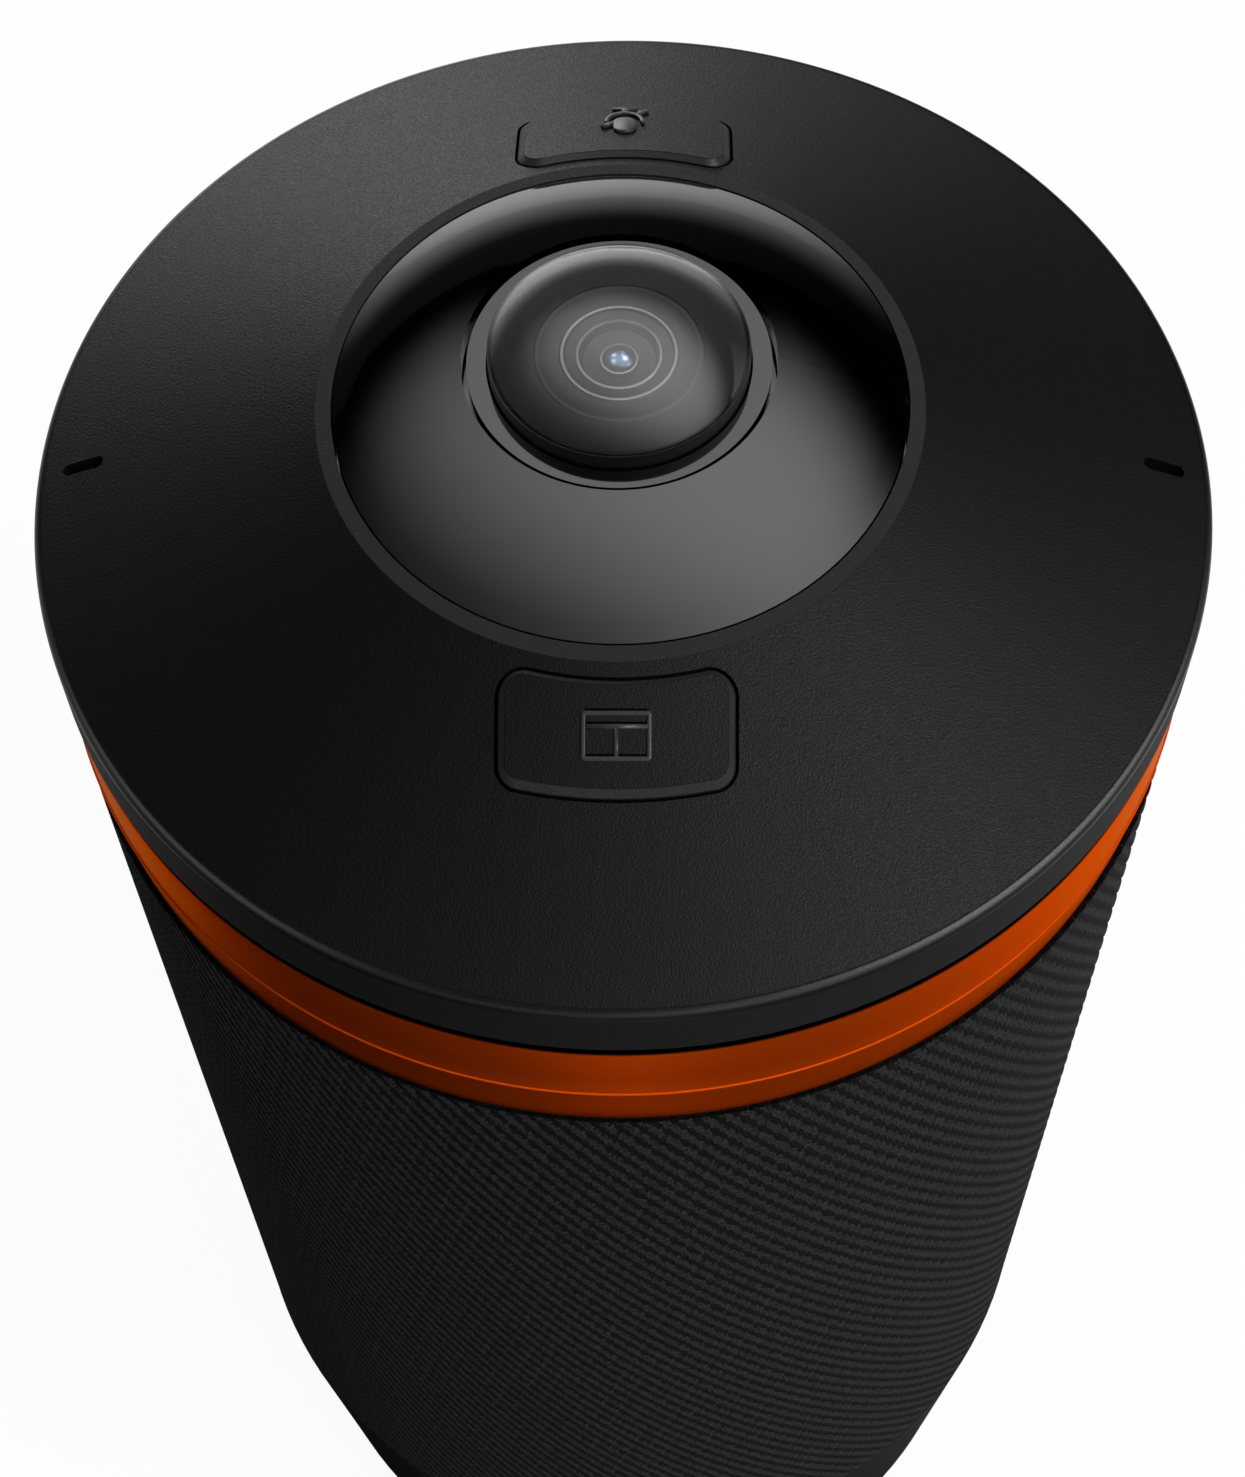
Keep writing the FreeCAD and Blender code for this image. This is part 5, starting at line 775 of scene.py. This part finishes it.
class WEBCAM_OT_studio(bpy.types.Operator):
    """Set the floor, the lights, the surroundings and the camera"""
    bl_idname = "webcam.studio"
    bl_label = "Studio"

    def execute(self, context):
        scene, settings = context.scene, context.scene.webcam_studio
        scene.view_settings.view_transform = "Standard"
        self.camera(scene, settings)
        self.surroundings(scene)
        self.floor(scene, settings)
        self.share_out(scene)
        self.softbox(scene, settings)
        self.lamp(scene, "key", settings.key, (1.05, -0.60, 1.62), 1.2)
        self.lamp(scene, "top", settings.top, (0.1, 0.0, 1.8), 1.6, mirrored=False)
        self.lamp(scene, "rear", settings.rear, (-0.45, 1.40, 0.50), 0.9)
        for name, share, place in (("left", 0.4, (-0.95, -0.30, 0.62)), ("front", 0.25, (0.45, -0.90, 0.62)),
                                   ("right", 1.0, (0.95, -0.30, 0.62))):
            self.lamp(scene, "strip_" + name, share * settings.strip, place, 1.0, height=0.6, group="edge")
        return {"FINISHED"}

    def camera(self, scene, settings):
        """Camera above the front, 60.5 degrees down, rolled a little as in the photograph."""
        pitch, roll, yaw, turn = 1.05571, -0.02642, -0.00387, math.radians(1.7)
        ahead = Vector((math.sin(yaw) * math.cos(pitch), math.cos(yaw) * math.cos(pitch), -math.sin(pitch)))
        right = Vector((math.cos(yaw), -math.sin(yaw), 0.0))
        up = right.cross(ahead)
        across = right * math.cos(roll) + up * math.sin(roll)
        above = up * math.cos(roll) - right * math.sin(roll)
        facing = Matrix((across, above, -ahead)).transposed().to_4x4()
        facing.translation = Vector((0.0, -125.66, 360.7)) * MM      # before the turn about the tower's axis
        data = bpy.data.cameras.new("camera")
        data.lens = settings.lens
        data.clip_start, data.clip_end = 0.01, 20.0
        camera = bpy.data.objects.new("camera", data)
        camera.matrix_world = Matrix.Rotation(turn, 4, "Z") @ facing
        scene.collection.objects.link(camera)
        scene.camera = camera

    def share_out(self, scene):
        """Receivers: the gloss mirrors the softbox, the lamps light all else, and strips the cover's edge."""
        gloss, matt, edge = (bpy.data.collections.new(name) for name in ("gloss", "matt", "edge"))
        for obj in scene.objects:
            if obj.type == "MESH":
                (gloss if obj.name in GLOSS else matt).objects.link(obj)
        edge.objects.link(scene.objects["cover_edge"])

    def surroundings(self, scene):
        """White for the camera. All else sees a pale horizon that is brighter at the rear left and fades upwards.

        The gloss also mirrors a haze in front that fades out between 24 and 44 degrees up.
        """
        world = bpy.data.worlds.new("studio")
        scene.world = world
        world.use_nodes = True
        world.node_tree.nodes.clear()
        add = partial(add_node, world.node_tree)
        ray = add("LightPath").outputs
        direction = add("TexCoord").outputs["Generated"]
        rise = add("SeparateXYZ", direction).outputs["Z"]
        horizon = add("MapRange", rise, 0.15, -0.12, 0.03, 0.6, interpolation_type="SMOOTHSTEP")
        rear = add("VectorMath.DOT_PRODUCT", direction, REAR_LEFT)
        horizon = add("Math.MULTIPLY", horizon, add("MapRange", rear, *REAR_GLOW))
        front = add("VectorMath.DOT_PRODUCT", direction, (0.45, -0.89, 0.0))
        front = add("Math.MULTIPLY", add("MapRange", front, -0.2, 1.0, 0.0, 1.2),
                    add("MapRange", rise, 0.7, 0.4, *FULL))
        front = add("Math.MULTIPLY", front, ray["Is Glossy Ray"])
        strength = add("Mix", ray["Is Camera Ray"], add("Math.MAXIMUM", horizon, front), 1.0)
        add("OutputWorld", add("Background", "#ffffff", strength))

    def floor(self, scene, settings):
        """Round floor, radius r and angle a on a grid: (r cos a, r sin a, 0).

        The camera sees white paper with a faint shadow. Gloss and glass see the same white, shaded as in the
        photograph: near the tower it is bright at the rear and at the right, dark at the front left and with a
        patch at the front, and it darkens towards the tower's foot. Beyond 0.7 m it is a pool of light that is
        strongest at the rear left.
        """
        radius = np.array([0.0, 0.05, 0.2, 0.6, 1.5, 3.0])
        points = turned(np.stack([radius, np.zeros_like(radius)], axis=1), 96)
        mesh = joined("floor", [grid_mesh("floor", points, around=True)])
        material, add, place = new_material("Matt paper sweep")
        ray = add("LightPath").outputs
        camera = ray["Is Camera Ray"]
        paper = add("BsdfPrincipled", Roughness=0.95, Base_Color=add("Mix.RGBA", camera, settings.floor, "#fafafa"))
        parts = add("SeparateXYZ", place).outputs
        bearing = add("Math.ARCTAN2", parts["X"], add("Math.MULTIPLY", parts["Y"], -1.0))
        near = add("ValToRGB", add("MapRange", bearing, -math.pi, math.pi, *FULL))
        shades = near.color_ramp.elements                     # by bearing: 0 is the front, and plus is to the right
        for degrees, shade in ((-93, 0.55), (-76, 0.13), (-60, 0.01), (-42, 0.01), (-20, 0.05), (-8, 0.18), (0, 0.34),
                               (8, 0.22), (17, 0.1), (25, 0.08), (37, 0.12), (51, 0.2), (68, 0.42), (93, 0.8)):
            shades.new(degrees / 360.0 + 0.5).color = (shade, shade, shade, 1.0)
        for end in (shades[0], shades[-1]):
            end.color = (0.85, 0.85, 0.85, 1.0)
        far = add("VectorMath.LENGTH", place)
        near = add("Math.MULTIPLY", near, add("MapRange", far, 0.095, 0.135, 0.3, 1.0))
        rear = add("VectorMath.DOT_PRODUCT", add("VectorMath.NORMALIZE", place), REAR_LEFT)
        pool = add("Math.MULTIPLY", add("MapRange", far, 1.0, 3.0, 1.0, 0.6), add("MapRange", rear, *REAR_GLOW))
        shown = add("Mix", add("MapRange", far, 0.35, 0.7, *FULL), near, pool)
        mirrored = add("Math.MAXIMUM", ray["Is Glossy Ray"], ray["Is Transmission Ray"])
        mirrored = add("Math.MULTIPLY", mirrored, add("Math.SUBTRACT", 1.0, camera))
        glow = add("Emission", Strength=add("Mix", mirrored, 1.0, shown))
        share = add("Math.MULTIPLY_ADD", camera, 0.94, mirrored)
        add("OutputMaterial", add("MixShader", share, paper, glow))
        mesh.materials.append(material)
        floor = bpy.data.objects.new("floor", mesh)
        scene.collection.objects.link(floor)

    def softbox(self, scene, settings):
        """Flat cloth above the lens, mirrored only in the gloss parts: a grid 9 m wide, 1.5 m over the crown.

        Its glow is level * exp(-q ** 1.18), where q = (x / 2.27) ** 2 + ((y + 0.33 x) / 1.42) ** 2 and x and y run in
        metres from its brightest spot, which lies to the right of the lens.
        """
        side = np.linspace(-4.5, 4.5, 13)
        x, y = np.meshgrid(side, -side)
        mesh = grid_mesh("softbox", np.stack([x, y, np.full_like(x, CROWN + 1.5)], axis=-1))
        material, add, place = new_material("Softbox cloth, lit")
        spot = add("VectorMath.SUBTRACT", place, (0.7245, 0.114, 0.0))
        parts = add("SeparateXYZ", spot).outputs
        skew = add("Math.MULTIPLY_ADD", parts["X"], 0.331, parts["Y"])
        oval = add("CombineXYZ", add("Math.DIVIDE", parts["X"], 2.27), add("Math.DIVIDE", skew, 1.4175))
        reach = add("VectorMath.LENGTH", oval)
        fall = add("Math.MULTIPLY", add("Math.POWER", reach, 2.352), -1.0)
        level = add("Math.MULTIPLY", add("Math.EXPONENT", fall), settings.softbox)
        add("OutputMaterial", add("Emission", Strength=level))
        mesh.materials.append(material)
        cloth = bpy.data.objects.new("softbox", mesh)
        scene.collection.objects.link(cloth)
        cloth.visible_camera = False
        cloth.visible_diffuse = False
        cloth.visible_shadow = False
        cloth.light_linking.receiver_collection = bpy.data.collections["gloss"]

    def lamp(self, scene, name, level, place, width, height=None, mirrored=True, group="matt"):
        """Flat lamp turned towards the tower's top. A level of 1 shows a facing surface in its own colour."""
        data = bpy.data.lights.new(name, "AREA")
        data.shape = "RECTANGLE"
        data.size, data.size_y = width, height or width
        place, aim = Vector(place), Vector((0.0, 0.0, 0.15))
        data.energy = level * (math.pi * (place - aim).length) ** 2
        lamp = bpy.data.objects.new(name, data)
        lamp.matrix_world = Matrix.Translation(place) @ (place - aim).to_track_quat("Z", "Y").to_matrix().to_4x4()
        lamp.visible_glossy = mirrored
        lamp.light_linking.receiver_collection = bpy.data.collections[group]
        scene.collection.objects.link(lamp)


class WEBCAM_PT_panel(bpy.types.Panel):
    """Lists the webcam's operators and settings."""
    bl_idname = "WEBCAM_PT_panel"
    bl_label = "Tower Webcam"
    bl_space_type = "VIEW_3D"
    bl_region_type = "UI"
    bl_category = "Webcam"

    def draw(self, context):
        layout = self.layout
        for operators, group in ((("studio",), "webcam_studio"),
                                 (("finishes", "cover_edge", "orange_band", "front_glass", "lens_core"),
                                  "webcam_finishes"),
                                 (("fabric_cover",), "webcam_sleeve"), (("symbols",), "webcam_symbols")):
            box = layout.box()
            for operator in operators:
                box.operator("webcam." + operator)
            settings = getattr(context.scene, group)
            for name in settings.__annotations__:
                box.prop(settings, name)


GROUPS = {"webcam_sleeve": WEBCAM_PG_sleeve, "webcam_symbols": WEBCAM_PG_symbols,
          "webcam_finishes": WEBCAM_PG_finishes, "webcam_studio": WEBCAM_PG_studio}
CLASSES = (*GROUPS.values(), WEBCAM_OT_studio, WEBCAM_OT_finishes, WEBCAM_OT_fabric_cover, WEBCAM_OT_cover_edge,
           WEBCAM_OT_orange_band, WEBCAM_OT_front_glass, WEBCAM_OT_lens_core, WEBCAM_OT_symbols, WEBCAM_PT_panel)


def register():
    for cls in CLASSES:
        bpy.utils.register_class(cls)
    for name, group in GROUPS.items():
        setattr(bpy.types.Scene, name, PointerProperty(type=group))


def unregister():
    for name in GROUPS:
        delattr(bpy.types.Scene, name)
    for cls in reversed(CLASSES):
        bpy.utils.unregister_class(cls)


def main():
    register()
    bpy.ops.webcam.finishes()
    bpy.ops.webcam.fabric_cover()
    bpy.ops.webcam.orange_band()
    bpy.ops.webcam.cover_edge()
    bpy.ops.webcam.front_glass()
    bpy.ops.webcam.lens_core()
    bpy.ops.webcam.symbols()
    bpy.ops.webcam.studio()


if __name__ == "__main__":
    main()
